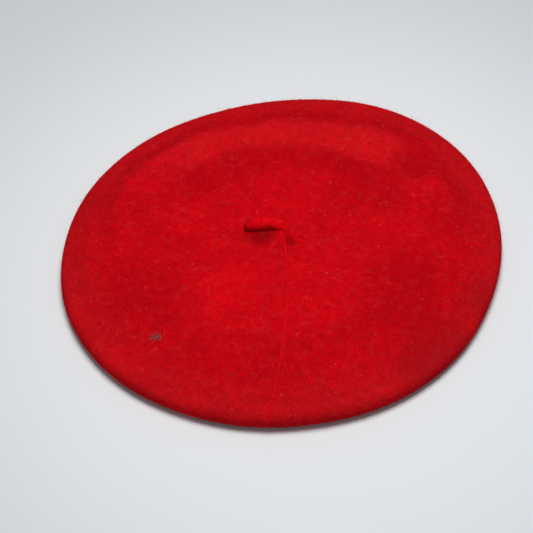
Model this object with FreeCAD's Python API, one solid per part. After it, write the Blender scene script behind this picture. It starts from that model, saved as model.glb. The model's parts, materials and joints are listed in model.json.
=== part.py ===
"""A felted wool beret, lying flat on its opening, as an assembly of its sewn pieces.

Units are millimetres, +Z is up, and the origin is on the surface that the beret lies on, under the
middle of the crown. The back of the head, where the crown is joined and the sweatband is tied, is at -Y.

The crown is one piece of knitted wool, fulled to felt and turned under at the rim. A leather sweatband
is sewn into the opening and stands up inside it, so that the slack crown rests over its edge in a ring
and sags in the middle. Every curved skin (felt, lining) is drawn from one section of three circles and
their common tangents, so a skin at any depth has the same centres and its own radii.
"""
import FreeCAD, Part
import math
import os

from FreeCAD import Placement, Rotation, Vector

UP = Vector(0, 0, 1)
ORIGIN = Vector(0, 0, 0)
BACK_OF_HEAD = -90.0  # degrees about Z, from +X

# ---- driving dimensions of the crown ----
BRIM_RADIUS = 135.0  # outermost edge of the rim
FELT = 2.4  # thickness of the fulled wool
RIM_ROUND = 7.0  # the rim's outer radius, half the height of its edge
DIP_FLAT = 36.0  # radius of the level middle of the crown
DIP_HEIGHT = 18.5  # top of the felt in the middle
DIP_ROUND = 60.0  # the hollow curve round the middle
CREST_ROUND = 20.0  # the crown's curve over the sweatband's edge

# ---- driving dimensions of the opening and its sweatband ----
HEAD_RADIUS = 86.8  # the sweatband's inner face at its sewn hem, 54.5 cm round
LEATHER = 1.2
HEM_HEIGHT = 5.0  # the upright, sewn foot of the sweatband
BAND_HEIGHT = 21.7
BAND_LIFT = 0.3  # the sweatband's foot above the table, so that the felt carries the beret
BAND_LEAN = 2.1  # how far the sweatband's top edge leans outwards
BAND_GAP = 1.6  # between the sweatband's two ends, at the back
BAND_CLEARANCE = 0.3  # between the sweatband's top edge and the lining that rests over it
BAND_STITCHES = 72
STITCH_RISE = 1.4  # of the hem's stitches above the sweatband's foot

# ---- lining, thread and yarn ----
LINING = 0.4
LINING_SLACK = 1.0  # between the felt and its lining
THREAD_RADIUS = 0.35
YARN_RADIUS = 0.6
YARN_PROUD = 0.25  # how far the join's yarn stands out of the crown's top

# ---- the stalk in the middle of the crown ----
STALK_LENGTH = 26.0  # from the middle of its root to its tip
STALK_ROOT = 3.0  # radius of the round root
STALK_NECK = 2.4
STALK_HEAD = 2.8
STALK_TILT = 12.0  # degrees above level
STALK_HEADING = 165.0  # degrees about Z, from +X
STALK_CLEARANCE = 0.3  # between the root and the felt under it
STALK_STITCH = 0.9  # radius of each loop of thread at its root
KNOT_RADIUS = 2.0
KNOT_THICK = 0.8

# ---- lozenge patch on the lining ----
PATCH_HALF_WIDTH = 33.0
PATCH_HALF_DEPTH = 23.0
PATCH = 0.3
PATCH_MARGIN = 2.0  # from its edge to its stitching
PATCH_STITCHES_PER_SIDE = 8

# ---- ribbon bow that ties the sweatband's ends ----
RIBBON = 0.4
RIBBON_WIDTH = 6.0
BOW_REACH = 13.0  # from the knot's middle to the end of a loop
BOW_THICK = 2.6
BOW_BEND = 6.0  # degrees that each loop is bent to follow the sweatband
BOW_END_LENGTH = 13.0
BOW_END_ANGLE = 74.0  # degrees that each free end hangs out from upright
KNOT_WIDTH = 5.0
SLIT_OFFSET = 4.5  # from the gap's middle to each slit in the sweatband
SLIT_CLEARANCE = 0.3

# ---- labels ----
TAB_WIDTH = 14.0
TAB_HEIGHT = 9.0
TAB = 0.3
TAB_ANGLE = 20.0  # degrees round the sweatband from the back
LABEL_WIDTH = 26.0
LABEL_DROP = 13.0
LABEL_THICK = 0.8
LABEL_ANGLE = 38.0  # degrees round the opening from the back
LABEL_INSET = 3.3  # from the sweatband's hem to the hanging label
LABEL_CLEARANCE = 0.3

# ---- sizes that follow ----
HEM_OUTER = HEAD_RADIUS + LEATHER
BAND_TOP = BAND_LIFT + BAND_HEIGHT
LINING_DEPTH = FELT + LINING_SLACK  # the lining's felt side, under the crown's outer face
LINED_DEPTH = LINING_DEPTH + LINING
BOW_HEIGHT = BAND_LIFT + (HEM_HEIGHT + BAND_HEIGHT) / 2  # half way up the sweatband's lean
CREST_RADIUS = HEM_OUTER + BAND_LEAN
CREST_HEIGHT = BAND_TOP + BAND_CLEARANCE + LINED_DEPTH
CEILING = DIP_HEIGHT - LINED_DEPTH  # the lining's face over the head


def at(radius, height):
    """A point of the section, in the XZ plane."""
    return Vector(radius, 0, height)


def section_arc(centre, radius, start_deg, end_deg):
    """An arc of the section about a centre, with its angles measured from the radius axis."""
    points = []
    for angle in (start_deg, (start_deg + end_deg) / 2, end_deg):
        turn = math.radians(angle)
        points.append(centre + at(radius * math.cos(turn), radius * math.sin(turn)))
    return Part.Arc(*points).toShape()


def segment(start, end):
    return Part.LineSegment(start, end).toShape()


def tangent_slope(first, second):
    """The slope, in degrees, of the line that touches two circles of the section.

    A circle is (centre, radius, side), and side is 1 where its centre is above the line and -1 below.
    """
    (centre_a, radius_a, side_a), (centre_b, radius_b, side_b) = first, second
    run = centre_b - centre_a
    heading = math.atan2(run.z, run.x)
    return math.degrees(heading - math.asin((side_b * radius_b - side_a * radius_a) / run.Length))


def crown_edges(depth):
    """The crown's section at a depth under its outer face, as the edges of its top and of its underside.

    The two halves meet at the outermost point of the rim.
    """
    dip = (at(DIP_FLAT, DIP_HEIGHT + DIP_ROUND), DIP_ROUND + depth, 1)
    crest = (at(CREST_RADIUS, CREST_HEIGHT - CREST_ROUND), CREST_ROUND - depth, -1)
    rim = (at(BRIM_RADIUS - RIM_ROUND, RIM_ROUND), RIM_ROUND - depth, -1)
    rise = tangent_slope(dip, crest)
    fall = tangent_slope(crest, rim)
    dip_arc = section_arc(dip[0], dip[1], -90, rise - 90)
    crest_arc = section_arc(crest[0], crest[1], rise + 90, fall + 90)
    rim_arc = section_arc(rim[0], rim[1], fall + 90, 0)
    top = [
        segment(at(0, DIP_HEIGHT - depth), dip_arc.firstVertex().Point),
        dip_arc,
        segment(dip_arc.lastVertex().Point, crest_arc.firstVertex().Point),
        crest_arc,
        segment(crest_arc.lastVertex().Point, rim_arc.firstVertex().Point),
        rim_arc,
    ]
    under_arc = section_arc(rim[0], rim[1], 0, -90)
    underside = [under_arc, segment(under_arc.lastVertex().Point, at(HEM_OUTER, depth))]
    return top, underside


def ends(edges):
    return edges[0].firstVertex().Point, edges[-1].lastVertex().Point


def revolved_skin(outer, inner, turn_deg=360.0):
    """The solid between two lines of the section, turned about Z."""
    (outer_start, outer_end), (inner_start, inner_end) = ends(outer), ends(inner)
    closing = [segment(outer_end, inner_end), segment(outer_start, inner_start)]
    outline = Part.Wire(Part.__sortEdges__([*outer, *inner, *closing]))
    return Part.Face(outline).revolve(ORIGIN, UP, turn_deg)


def outline_face(points):
    return Part.Face(Part.makePolygon([*points, points[0]]))


def turned(shape, degrees):
    """A copy of a shape, turned about Z."""
    copy = shape.copy()
    copy.rotate(ORIGIN, UP, degrees)
    return copy


def pipe(edges, radius):
    """A round thread or yarn along a line of the section."""
    spine = Part.Wire(edges)
    start = spine.Edges[0].firstVertex().Point
    heading = spine.Edges[0].tangentAt(spine.Edges[0].FirstParameter)
    ring = Part.Wire(Part.makeCircle(radius, start, heading))
    return spine.makePipeShell([ring], True, True)


def stitch(length, radius=THREAD_RADIUS):
    """One stitch, lying along Y with its middle at the origin."""
    straight = length - 2 * radius
    body = Part.makeCylinder(radius, straight, Vector(0, -straight / 2, 0), Vector(0, 1, 0))
    for end in (-straight / 2, straight / 2):
        body = body.fuse(Part.makeSphere(radius, Vector(0, end, 0)))
    return body.removeSplitter()


# ---- crown ----


def crown_felt():
    """Top, rim and underside of fulled wool, in one piece."""
    outer_top, outer_under = crown_edges(0)
    inner_top, inner_under = crown_edges(FELT)
    return revolved_skin(outer_top + outer_under, inner_top + inner_under)


def crown_join_yarn():
    """The yarn that closes the knitting along one radius, from the stalk over the rim to the opening.

    It stands a little proud on the top and lies flush under the rim, where the felt rests.
    """
    top, _ = crown_edges(YARN_RADIUS - YARN_PROUD)
    _, underside = crown_edges(YARN_RADIUS)
    start = at(STALK_ROOT + STALK_CLEARANCE + 2 * YARN_RADIUS, DIP_HEIGHT - YARN_RADIUS + YARN_PROUD)
    top[0] = segment(start, top[0].lastVertex().Point)
    halves = [pipe(top, YARN_RADIUS), pipe(underside, YARN_RADIUS)]
    return Part.makeCompound([turned(half, BACK_OF_HEAD) for half in halves])


# ---- stalk ----


def stalk_pivot():
    return Vector(0, 0, DIP_HEIGHT + STALK_CLEARANCE + STALK_ROOT)


def stalk():
    """The little felted stalk that closes the middle of the knitting. It leans over from a round root."""
    neck = at(STALK_NECK, STALK_LENGTH * 0.35)
    head = at(STALK_HEAD, STALK_LENGTH - STALK_HEAD)
    edges = [
        section_arc(ORIGIN, STALK_ROOT, -90, 0),
        segment(at(STALK_ROOT, 0), neck),
        segment(neck, head),
        section_arc(at(0, head.z), STALK_HEAD, 0, 90),
        segment(at(0, STALK_LENGTH), at(0, -STALK_ROOT)),
    ]
    solid = Part.Face(Part.Wire(edges)).revolve(ORIGIN, UP, 360)
    lean = Rotation(Vector(0, 1, 0), 90 - STALK_TILT)
    heading = Rotation(UP, STALK_HEADING)
    solid.Placement = Placement(stalk_pivot(), heading.multiply(lean))
    return solid


def stalk_stitches():
    """Four loops of thread round the stalk's root, clear of the two sides that it lies over."""
    reach = STALK_ROOT + STALK_CLEARANCE + THREAD_RADIUS
    loop = Part.makeTorus(STALK_STITCH, THREAD_RADIUS, Vector(reach, 0, DIP_HEIGHT), Vector(1, 0, 0))
    sides = (60, 120, 240, 300)
    return Part.makeCompound([turned(loop, STALK_HEADING + side) for side in sides])


def stalk_knot():
    """The knot of the stalk's thread, between the felt and its lining."""
    knot = Part.makeCylinder(KNOT_RADIUS, KNOT_THICK, Vector(0, 0, DIP_HEIGHT - FELT - KNOT_THICK))
    return knot.makeFillet(KNOT_THICK / 4, knot.Edges)


# ---- sweatband ----


def lean_at(height):
    """How far the sweatband has leaned outwards at a height above the table."""
    hem_top = BAND_LIFT + HEM_HEIGHT
    share = (height - hem_top) / (BAND_TOP - hem_top)
    return BAND_LEAN * max(0.0, share)


def band_face_edges(radius, low, high):
    """The sweatband's section line whose hem stands at a radius, between two heights."""
    hem_top = BAND_LIFT + HEM_HEIGHT
    top = at(radius + lean_at(high), high)
    if low >= hem_top:
        return [segment(at(radius + lean_at(low), low), top)]
    return [segment(at(radius, low), at(radius, hem_top)), segment(at(radius, hem_top), top)]


def sweatband():
    """A strip of leather bent into a ring, with its ends just apart at the back and slit for the ribbon."""
    gap_deg = math.degrees(BAND_GAP / HEM_OUTER)
    ring = revolved_skin(
        band_face_edges(HEAD_RADIUS, BAND_LIFT, BAND_TOP),
        band_face_edges(HEM_OUTER, BAND_LIFT, BAND_TOP),
        360 - gap_deg,
    )
    ring.rotate(ORIGIN, UP, BACK_OF_HEAD + gap_deg / 2)
    slit_width = RIBBON + 2 * SLIT_CLEARANCE
    slit_height = RIBBON_WIDTH + 2 * SLIT_CLEARANCE
    slit_depth = 2 * (LEATHER + BAND_LEAN)
    for side in (-1, 1):
        corner = Vector(
            side * SLIT_OFFSET - slit_width / 2,
            -HEM_OUTER - slit_depth / 2,
            BOW_HEIGHT - slit_height / 2,
        )
        ring = ring.cut(Part.makeBox(slit_width, slit_depth, slit_height, corner))
    return ring


def sweatband_stitches():
    """The row of stitches that holds the sweatband's hem to the edge of the felt."""
    pitch = 360.0 / BAND_STITCHES
    length = 0.45 * 2 * math.pi * HEAD_RADIUS / BAND_STITCHES
    one = stitch(length)
    one.translate(at(HEAD_RADIUS + THREAD_RADIUS, BAND_LIFT + STITCH_RISE))
    return Part.makeCompound(
        [turned(one, BACK_OF_HEAD + pitch * (n + 0.5)) for n in range(BAND_STITCHES)]
    )


def racetrack(radius, straight):
    """Half of a loop's outline, from its open end round its far end and back."""
    low_end = Vector(straight, -radius, 0)
    high_end = Vector(straight, radius, 0)
    return [
        segment(Vector(0, -radius, 0), low_end),
        Part.Arc(low_end, Vector(straight + radius, 0, 0), high_end).toShape(),
        segment(high_end, Vector(0, radius, 0)),
    ]


def bow_loop(side):
    """One loop of ribbon, bent a little inwards to follow the sweatband."""
    radius = BOW_THICK / 2
    straight = BOW_REACH - radius
    outer = racetrack(radius, straight)
    inner = racetrack(radius - RIBBON, straight)
    caps = [segment(Vector(0, end * radius, 0), Vector(0, end * (radius - RIBBON), 0)) for end in (-1, 1)]
    outline = Part.Wire(Part.__sortEdges__([*outer, *inner, *caps]))
    loop = Part.Face(outline).extrude(Vector(0, 0, RIBBON_WIDTH))
    loop.translate(Vector(0, 0, -RIBBON_WIDTH / 2))
    loop.rotate(ORIGIN, UP, BOW_BEND)
    loop.translate(Vector(KNOT_WIDTH / 2 - RIBBON, 0, 0))
    if side < 0:
        loop = loop.mirror(ORIGIN, Vector(1, 0, 0))
    return loop


def bow_end(side):
    """One free end of the ribbon, hanging out and down from the knot, over the loops."""
    corner = Vector(-RIBBON_WIDTH / 2, BOW_THICK / 2 + RIBBON, -BOW_END_LENGTH)
    end = Part.makeBox(RIBBON_WIDTH, RIBBON, BOW_END_LENGTH, corner)
    end.rotate(ORIGIN, Vector(0, 1, 0), -side * BOW_END_ANGLE)
    return end


def bow_strap(inner_face):
    """The ribbon's way out through one slit, round behind the sweatband and in through the other."""
    height = RIBBON_WIDTH - 2 * SLIT_CLEARANCE
    back = -(HEM_OUTER + lean_at(BOW_HEIGHT + height / 2) + RIBBON + SLIT_CLEARANCE)
    width = 2 * SLIT_OFFSET + RIBBON
    corner = Vector(-width / 2, back, BOW_HEIGHT - height / 2)
    strap = Part.makeBox(width, inner_face - back, height, corner)
    hollow = Part.makeBox(width - 2 * RIBBON, inner_face - back, height, corner + Vector(RIBBON, RIBBON, 0))
    return strap.cut(hollow)


def sweatband_bow():
    """The narrow ribbon that ties the sweatband's ends together, in a bow inside it."""
    knot_depth = BOW_THICK + 4 * RIBBON
    knot_height = RIBBON_WIDTH + 2 * RIBBON
    corner = Vector(-KNOT_WIDTH / 2, -knot_depth / 2, -knot_height / 2)
    bow = Part.makeBox(KNOT_WIDTH, knot_depth, knot_height, corner)
    bow = bow.makeFillet(RIBBON, bow.Edges)
    for side in (-1, 1):
        bow = bow.fuse(bow_loop(side)).fuse(bow_end(side))
    face_radius = HEAD_RADIUS + lean_at(BOW_HEIGHT - knot_height / 2)
    bow_y = knot_depth / 2 - face_radius
    bow.translate(Vector(0, bow_y, BOW_HEIGHT))
    return bow.fuse(bow_strap(bow_y)).removeSplitter()


# ---- lining ----


def lining_top():
    """The round satin panel over the head."""
    outer, _ = crown_edges(LINING_DEPTH)
    inner, _ = crown_edges(LINED_DEPTH)
    return revolved_skin(outer, inner)


def lining_side():
    """The satin ring that comes back from the rim to the sweatband's seam."""
    _, outer = crown_edges(LINING_DEPTH)
    _, inner = crown_edges(LINED_DEPTH)
    return revolved_skin(outer, inner)


def lining_seam():
    """The ridge of thread and turned edges that joins the two satin panels inside the rim."""
    ring_radius = BRIM_RADIUS - LINED_DEPTH - THREAD_RADIUS
    return Part.makeTorus(ring_radius, THREAD_RADIUS, Vector(0, 0, RIM_ROUND))


def lining_patch():
    """The lozenge of clear plastic that keeps hair off the middle of the lining."""
    low = CEILING - PATCH
    corners = [
        Vector(PATCH_HALF_WIDTH, 0, low),
        Vector(0, PATCH_HALF_DEPTH, low),
        Vector(-PATCH_HALF_WIDTH, 0, low),
        Vector(0, -PATCH_HALF_DEPTH, low),
    ]
    plate = outline_face(corners).extrude(Vector(0, 0, PATCH))
    upright = [edge for edge in plate.Edges if abs(edge.Vertexes[0].Z - edge.Vertexes[1].Z) > PATCH / 2]
    return plate.makeFillet(PATCH_MARGIN, upright)


def patch_stitches():
    """The stitching along the lozenge's four sides."""
    side_length = math.hypot(PATCH_HALF_WIDTH, PATCH_HALF_DEPTH)
    shrink = 1 - PATCH_MARGIN * side_length / (PATCH_HALF_WIDTH * PATCH_HALF_DEPTH)
    corners = [Vector(PATCH_HALF_WIDTH * x * shrink, PATCH_HALF_DEPTH * y * shrink, CEILING - PATCH)
               for x, y in ((1, 0), (0, 1), (-1, 0), (0, -1))]
    length = 0.6 * side_length * shrink / PATCH_STITCHES_PER_SIDE
    stitches = []
    for n, start in enumerate(corners):
        run = corners[(n + 1) % 4] - start
        heading = Rotation(Vector(0, 1, 0), run)
        for k in range(PATCH_STITCHES_PER_SIDE):
            one = stitch(length)
            one.Placement = Placement(start + run * ((k + 0.5) / PATCH_STITCHES_PER_SIDE), heading)
            stitches.append(one)
    return Part.makeCompound(stitches)


# ---- labels ----


def size_tab():
    """The small woven tab sewn flat on the sweatband, beside the bow. It is blank."""
    middle = BOW_HEIGHT
    low, high = middle - TAB_HEIGHT / 2, middle + TAB_HEIGHT / 2
    width_deg = math.degrees(TAB_WIDTH / HEAD_RADIUS)
    tab = revolved_skin(
        band_face_edges(HEAD_RADIUS - TAB, low, high),
        band_face_edges(HEAD_RADIUS, low, high),
        width_deg,
    )
    return turned(tab, BACK_OF_HEAD - TAB_ANGLE - width_deg / 2)


def label_radius():
    return HEAD_RADIUS - LABEL_INSET


def ceiling_over_label():
    """The height of the lining over the care label's inner face."""
    rise = crown_edges(LINED_DEPTH)[0][2]
    low, high = rise.firstVertex().Point, rise.lastVertex().Point
    inner_face = label_radius() - LABEL_THICK / 2
    return low.z + (inner_face - low.x) * (high.z - low.z) / (high.x - low.x)


def label_pivot_height():
    """The height of the fold that the care label hangs from."""
    return ceiling_over_label() - LABEL_CLEARANCE - LABEL_THICK / 2


def care_label():
    """The folded satin loop that hangs inside, sewn by its top edge and free to flip. It is blank."""
    radius = label_radius()
    half = LABEL_THICK / 2
    top = label_pivot_height()
    low = top - LABEL_DROP
    inner = at(radius - half, 0)
    outer = at(radius + half, 0)
    edges = [
        segment(inner + UP * low, inner + UP * top),
        Part.Arc(inner + UP * top, at(radius, top + half), outer + UP * top).toShape(),
        segment(outer + UP * top, outer + UP * low),
        Part.Arc(outer + UP * low, at(radius, low - half), inner + UP * low).toShape(),
    ]
    label = Part.Face(Part.Wire(edges)).extrude(Vector(0, LABEL_WIDTH, 0))
    label.translate(Vector(0, -LABEL_WIDTH / 2, 0))
    return turned(label, BACK_OF_HEAD + LABEL_ANGLE)


def care_label_tack():
    """The line of thread that holds the care label's fold to the lining."""
    one = stitch(LABEL_WIDTH)
    one.translate(at(label_radius(), ceiling_over_label() + THREAD_RADIUS))
    return turned(one, BACK_OF_HEAD + LABEL_ANGLE)


NODES = {
    "crown_felt": crown_felt,
    "crown_join_yarn": crown_join_yarn,
    "stalk": stalk,
    "stalk_stitches": stalk_stitches,
    "stalk_knot": stalk_knot,
    "sweatband": sweatband,
    "sweatband_stitches": sweatband_stitches,
    "sweatband_bow": sweatband_bow,
    "lining_top": lining_top,
    "lining_side": lining_side,
    "lining_seam": lining_seam,
    "lining_patch": lining_patch,
    "patch_stitches": patch_stitches,
    "size_tab": size_tab,
    "care_label": care_label,
    "care_label_tack": care_label_tack,
}


def main():
    os.makedirs("parts", exist_ok=True)
    for name, build in NODES.items():
        shape = build()
        shape.exportStep(f"parts/{name}.step")
        print(f"{name}: {len(shape.Solids)} solids, {shape.Volume:.1f} mm3, valid {shape.isValid()}")


main()
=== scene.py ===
"""A felted wool beret lying on a pale table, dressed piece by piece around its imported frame.

Everything is in metres, with +Z up and the origin on the table under the middle of the crown. The crown's
soft shape is worked out in CrownForm, and every other soft piece takes its place from that one form.
"""
import json
import logging
import math
from dataclasses import dataclass, field
from enum import Enum
from typing import Any

import bpy
import numpy as np
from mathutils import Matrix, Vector


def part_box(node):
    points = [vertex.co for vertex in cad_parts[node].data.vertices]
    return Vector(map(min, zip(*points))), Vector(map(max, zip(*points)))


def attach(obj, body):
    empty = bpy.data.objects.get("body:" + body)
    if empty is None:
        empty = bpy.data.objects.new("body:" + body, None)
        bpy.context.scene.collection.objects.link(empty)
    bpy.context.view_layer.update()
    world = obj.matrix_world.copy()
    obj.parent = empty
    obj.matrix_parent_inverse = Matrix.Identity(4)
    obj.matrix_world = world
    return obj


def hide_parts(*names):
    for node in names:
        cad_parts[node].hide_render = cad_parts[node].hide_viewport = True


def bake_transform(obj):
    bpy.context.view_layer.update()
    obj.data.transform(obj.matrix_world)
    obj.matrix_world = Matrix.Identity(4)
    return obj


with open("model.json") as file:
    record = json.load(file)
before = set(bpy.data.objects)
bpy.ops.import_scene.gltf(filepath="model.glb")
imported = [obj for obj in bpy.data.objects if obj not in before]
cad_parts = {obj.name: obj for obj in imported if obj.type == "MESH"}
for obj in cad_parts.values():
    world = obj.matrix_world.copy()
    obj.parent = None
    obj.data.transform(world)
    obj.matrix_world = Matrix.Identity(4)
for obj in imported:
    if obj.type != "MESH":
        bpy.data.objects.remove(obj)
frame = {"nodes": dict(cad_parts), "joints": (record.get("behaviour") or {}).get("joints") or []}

MM = 0.001
FIBRE_CHART = "OFBake"
TURN = 2 * math.pi
LOG = logging.getLogger("beret")
Array = np.ndarray
Colour = tuple[float, float, float]
Spot = tuple[float, float, float, float]
Pull = tuple[int, float, float]
Rows = list[tuple[Array, Array]]


# ---------------------------------------------------------------- shader helpers


class Reading:
    """A shader value that takes part in ordinary arithmetic."""

    def __init__(self, finish: "NodeSheet", socket: bpy.types.NodeSocket) -> None:
        """Wraps an output socket of a node sheet."""
        self.finish = finish
        self.socket = socket

    def _maths(self, operation: str, *terms: Any) -> "Reading":
        """Adds one Math node for an operation on terms."""
        return self.finish.add("ShaderNodeMath", {"operation": operation}, dict(enumerate(terms)))

    def __add__(self, other: Any) -> "Reading":
        """This value plus another."""
        return self._maths("ADD", self, other)

    __radd__ = __add__

    def __sub__(self, other: Any) -> "Reading":
        """This value less another."""
        return self._maths("SUBTRACT", self, other)

    def __rsub__(self, other: Any) -> "Reading":
        """Another value less this one."""
        return self._maths("SUBTRACT", other, self)

    def __mul__(self, other: Any) -> "Reading":
        """This value times another."""
        return self._maths("MULTIPLY", self, other)

    __rmul__ = __mul__

    def __truediv__(self, other: Any) -> "Reading":
        """This value over another."""
        return self._maths("DIVIDE", self, other)

    def __pow__(self, other: float) -> "Reading":
        """This value raised to a power."""
        return self._maths("POWER", self, other)

    def sine(self) -> "Reading":
        """The sine of this value."""
        return self._maths("SINE", self)

    def cosine(self) -> "Reading":
        """The cosine of this value."""
        return self._maths("COSINE", self)

    def floor(self) -> "Reading":
        """This value rounded down."""
        return self._maths("FLOOR", self)

    def angle_to(self, other: "Reading") -> "Reading":
        """The angle whose tangent is this value over another."""
        return self._maths("ARCTAN2", self, other)

    def between(self, low: float, high: float) -> "Reading":
        """This value mapped smoothly from 0 at low to 1 at high."""
        settings = {"interpolation_type": "SMOOTHSTEP"}
        return self.finish.add("ShaderNodeMapRange", settings, {"Value": self, "From Min": low, "From Max": high})


class NodeSheet:
    """The node tree of one material while it is being drawn up."""

    def __init__(self, name: str) -> None:
        """Starts a material with an empty tree.

        Args:
            name: The material's name.
        """
        self.material = bpy.data.materials.new(name)
        self.material.use_nodes = True
        self.tree = self.material.node_tree
        self.tree.nodes.clear()

    def add(self, kind: str, settings: dict | None = None, sockets: dict | None = None,
            output: int | str = 0) -> Reading:
        """Adds one node.

        Args:
            kind: The node's type.
            settings: Attributes to set first.
            sockets: Values or readings for its input sockets, by name, identifier or number.
            output: The output to hand back.

        Returns:
            A reading of that output.
        """
        node = self.tree.nodes.new(kind)
        for key, value in (settings or {}).items():
            setattr(node, key, value)
        for key, value in (sockets or {}).items():
            self._connect(self._socket(node.inputs, key), value)
        return Reading(self, self._socket(node.outputs, output)) if len(node.outputs) else node

    @staticmethod
    def _socket(sockets: Any, key: int | str) -> bpy.types.NodeSocket:
        """Finds a socket.

        Args:
            sockets: A node's inputs or outputs.
            key: The socket's number, identifier or name.

        Returns:
            The socket.
        """
        if isinstance(key, int):
            return sockets[key]
        for socket in sockets:
            if socket.identifier == key and socket.enabled:
                return socket
        return sockets[key]

    def _connect(self, socket: bpy.types.NodeSocket, value: Any) -> None:
        """Links a reading to a socket, or sets the socket's own value.

        Args:
            socket: The input socket.
            value: The reading or the value.
        """
        if isinstance(value, Reading):
            self.tree.links.new(value.socket, socket)
        else:
            socket.default_value = value

    def place(self) -> Reading:
        """The place on the object, in metres in its own frame."""
        return self.add("ShaderNodeTexCoord", output="Object")

    def parts(self, vector: Reading) -> tuple[Reading, Reading, Reading]:
        """Splits a vector.

        Args:
            vector: The vector.

        Returns:
            Its three parts.
        """
        split = self.add("ShaderNodeSeparateXYZ", {}, {0: vector})
        outputs = split.socket.node.outputs
        return tuple(Reading(self, outputs[axis]) for axis in range(3))

    def vector(self, x: Any, y: Any, z: Any) -> Reading:
        """A vector of three values."""
        return self.add("ShaderNodeCombineXYZ", {}, {0: x, 1: y, 2: z})

    def noise(self, vector: Reading, pitch: float, detail: float = 2.0, rough: float = 0.5) -> Reading:
        """Soft noise whose lumps are about a pitch apart, in metres."""
        sockets = {"Vector": vector, "Scale": 1 / pitch, "Detail": detail, "Roughness": rough}
        return self.add("ShaderNodeTexNoise", {}, sockets)

    def mixed(self, share: Any, first: Any, second: Any) -> Reading:
        """A colour between two, by a share from 0 to 1."""
        sockets = {"Factor_Float": share, "A_Color": self._rgba(first), "B_Color": self._rgba(second)}
        return self.add("ShaderNodeMix", {"data_type": "RGBA"}, sockets, "Result_Color")

    @staticmethod
    def _rgba(colour: Any) -> Any:
        """A colour with its alpha, or a reading as it is."""
        return colour if isinstance(colour, Reading) else (*colour, 1.0)

    def bump(self, height: Reading, distance: float) -> Reading:
        """A normal from a height from 0 to 1 over a distance in metres."""
        return self.add("ShaderNodeBump", {}, {"Height": height, "Distance": distance, "Strength": 1.0})

    def done(self, sockets: dict[str, Any]) -> bpy.types.Material:
        """Ends the sheet with a Principled shader.

        Args:
            sockets: Values or readings for the shader's own sockets.

        Returns:
            The material.
        """
        surface = self.add("ShaderNodeBsdfPrincipled", {}, sockets)
        self.add("ShaderNodeOutputMaterial", {}, {"Surface": surface})
        return self.material


# ---------------------------------------------------------------- finishes


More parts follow.
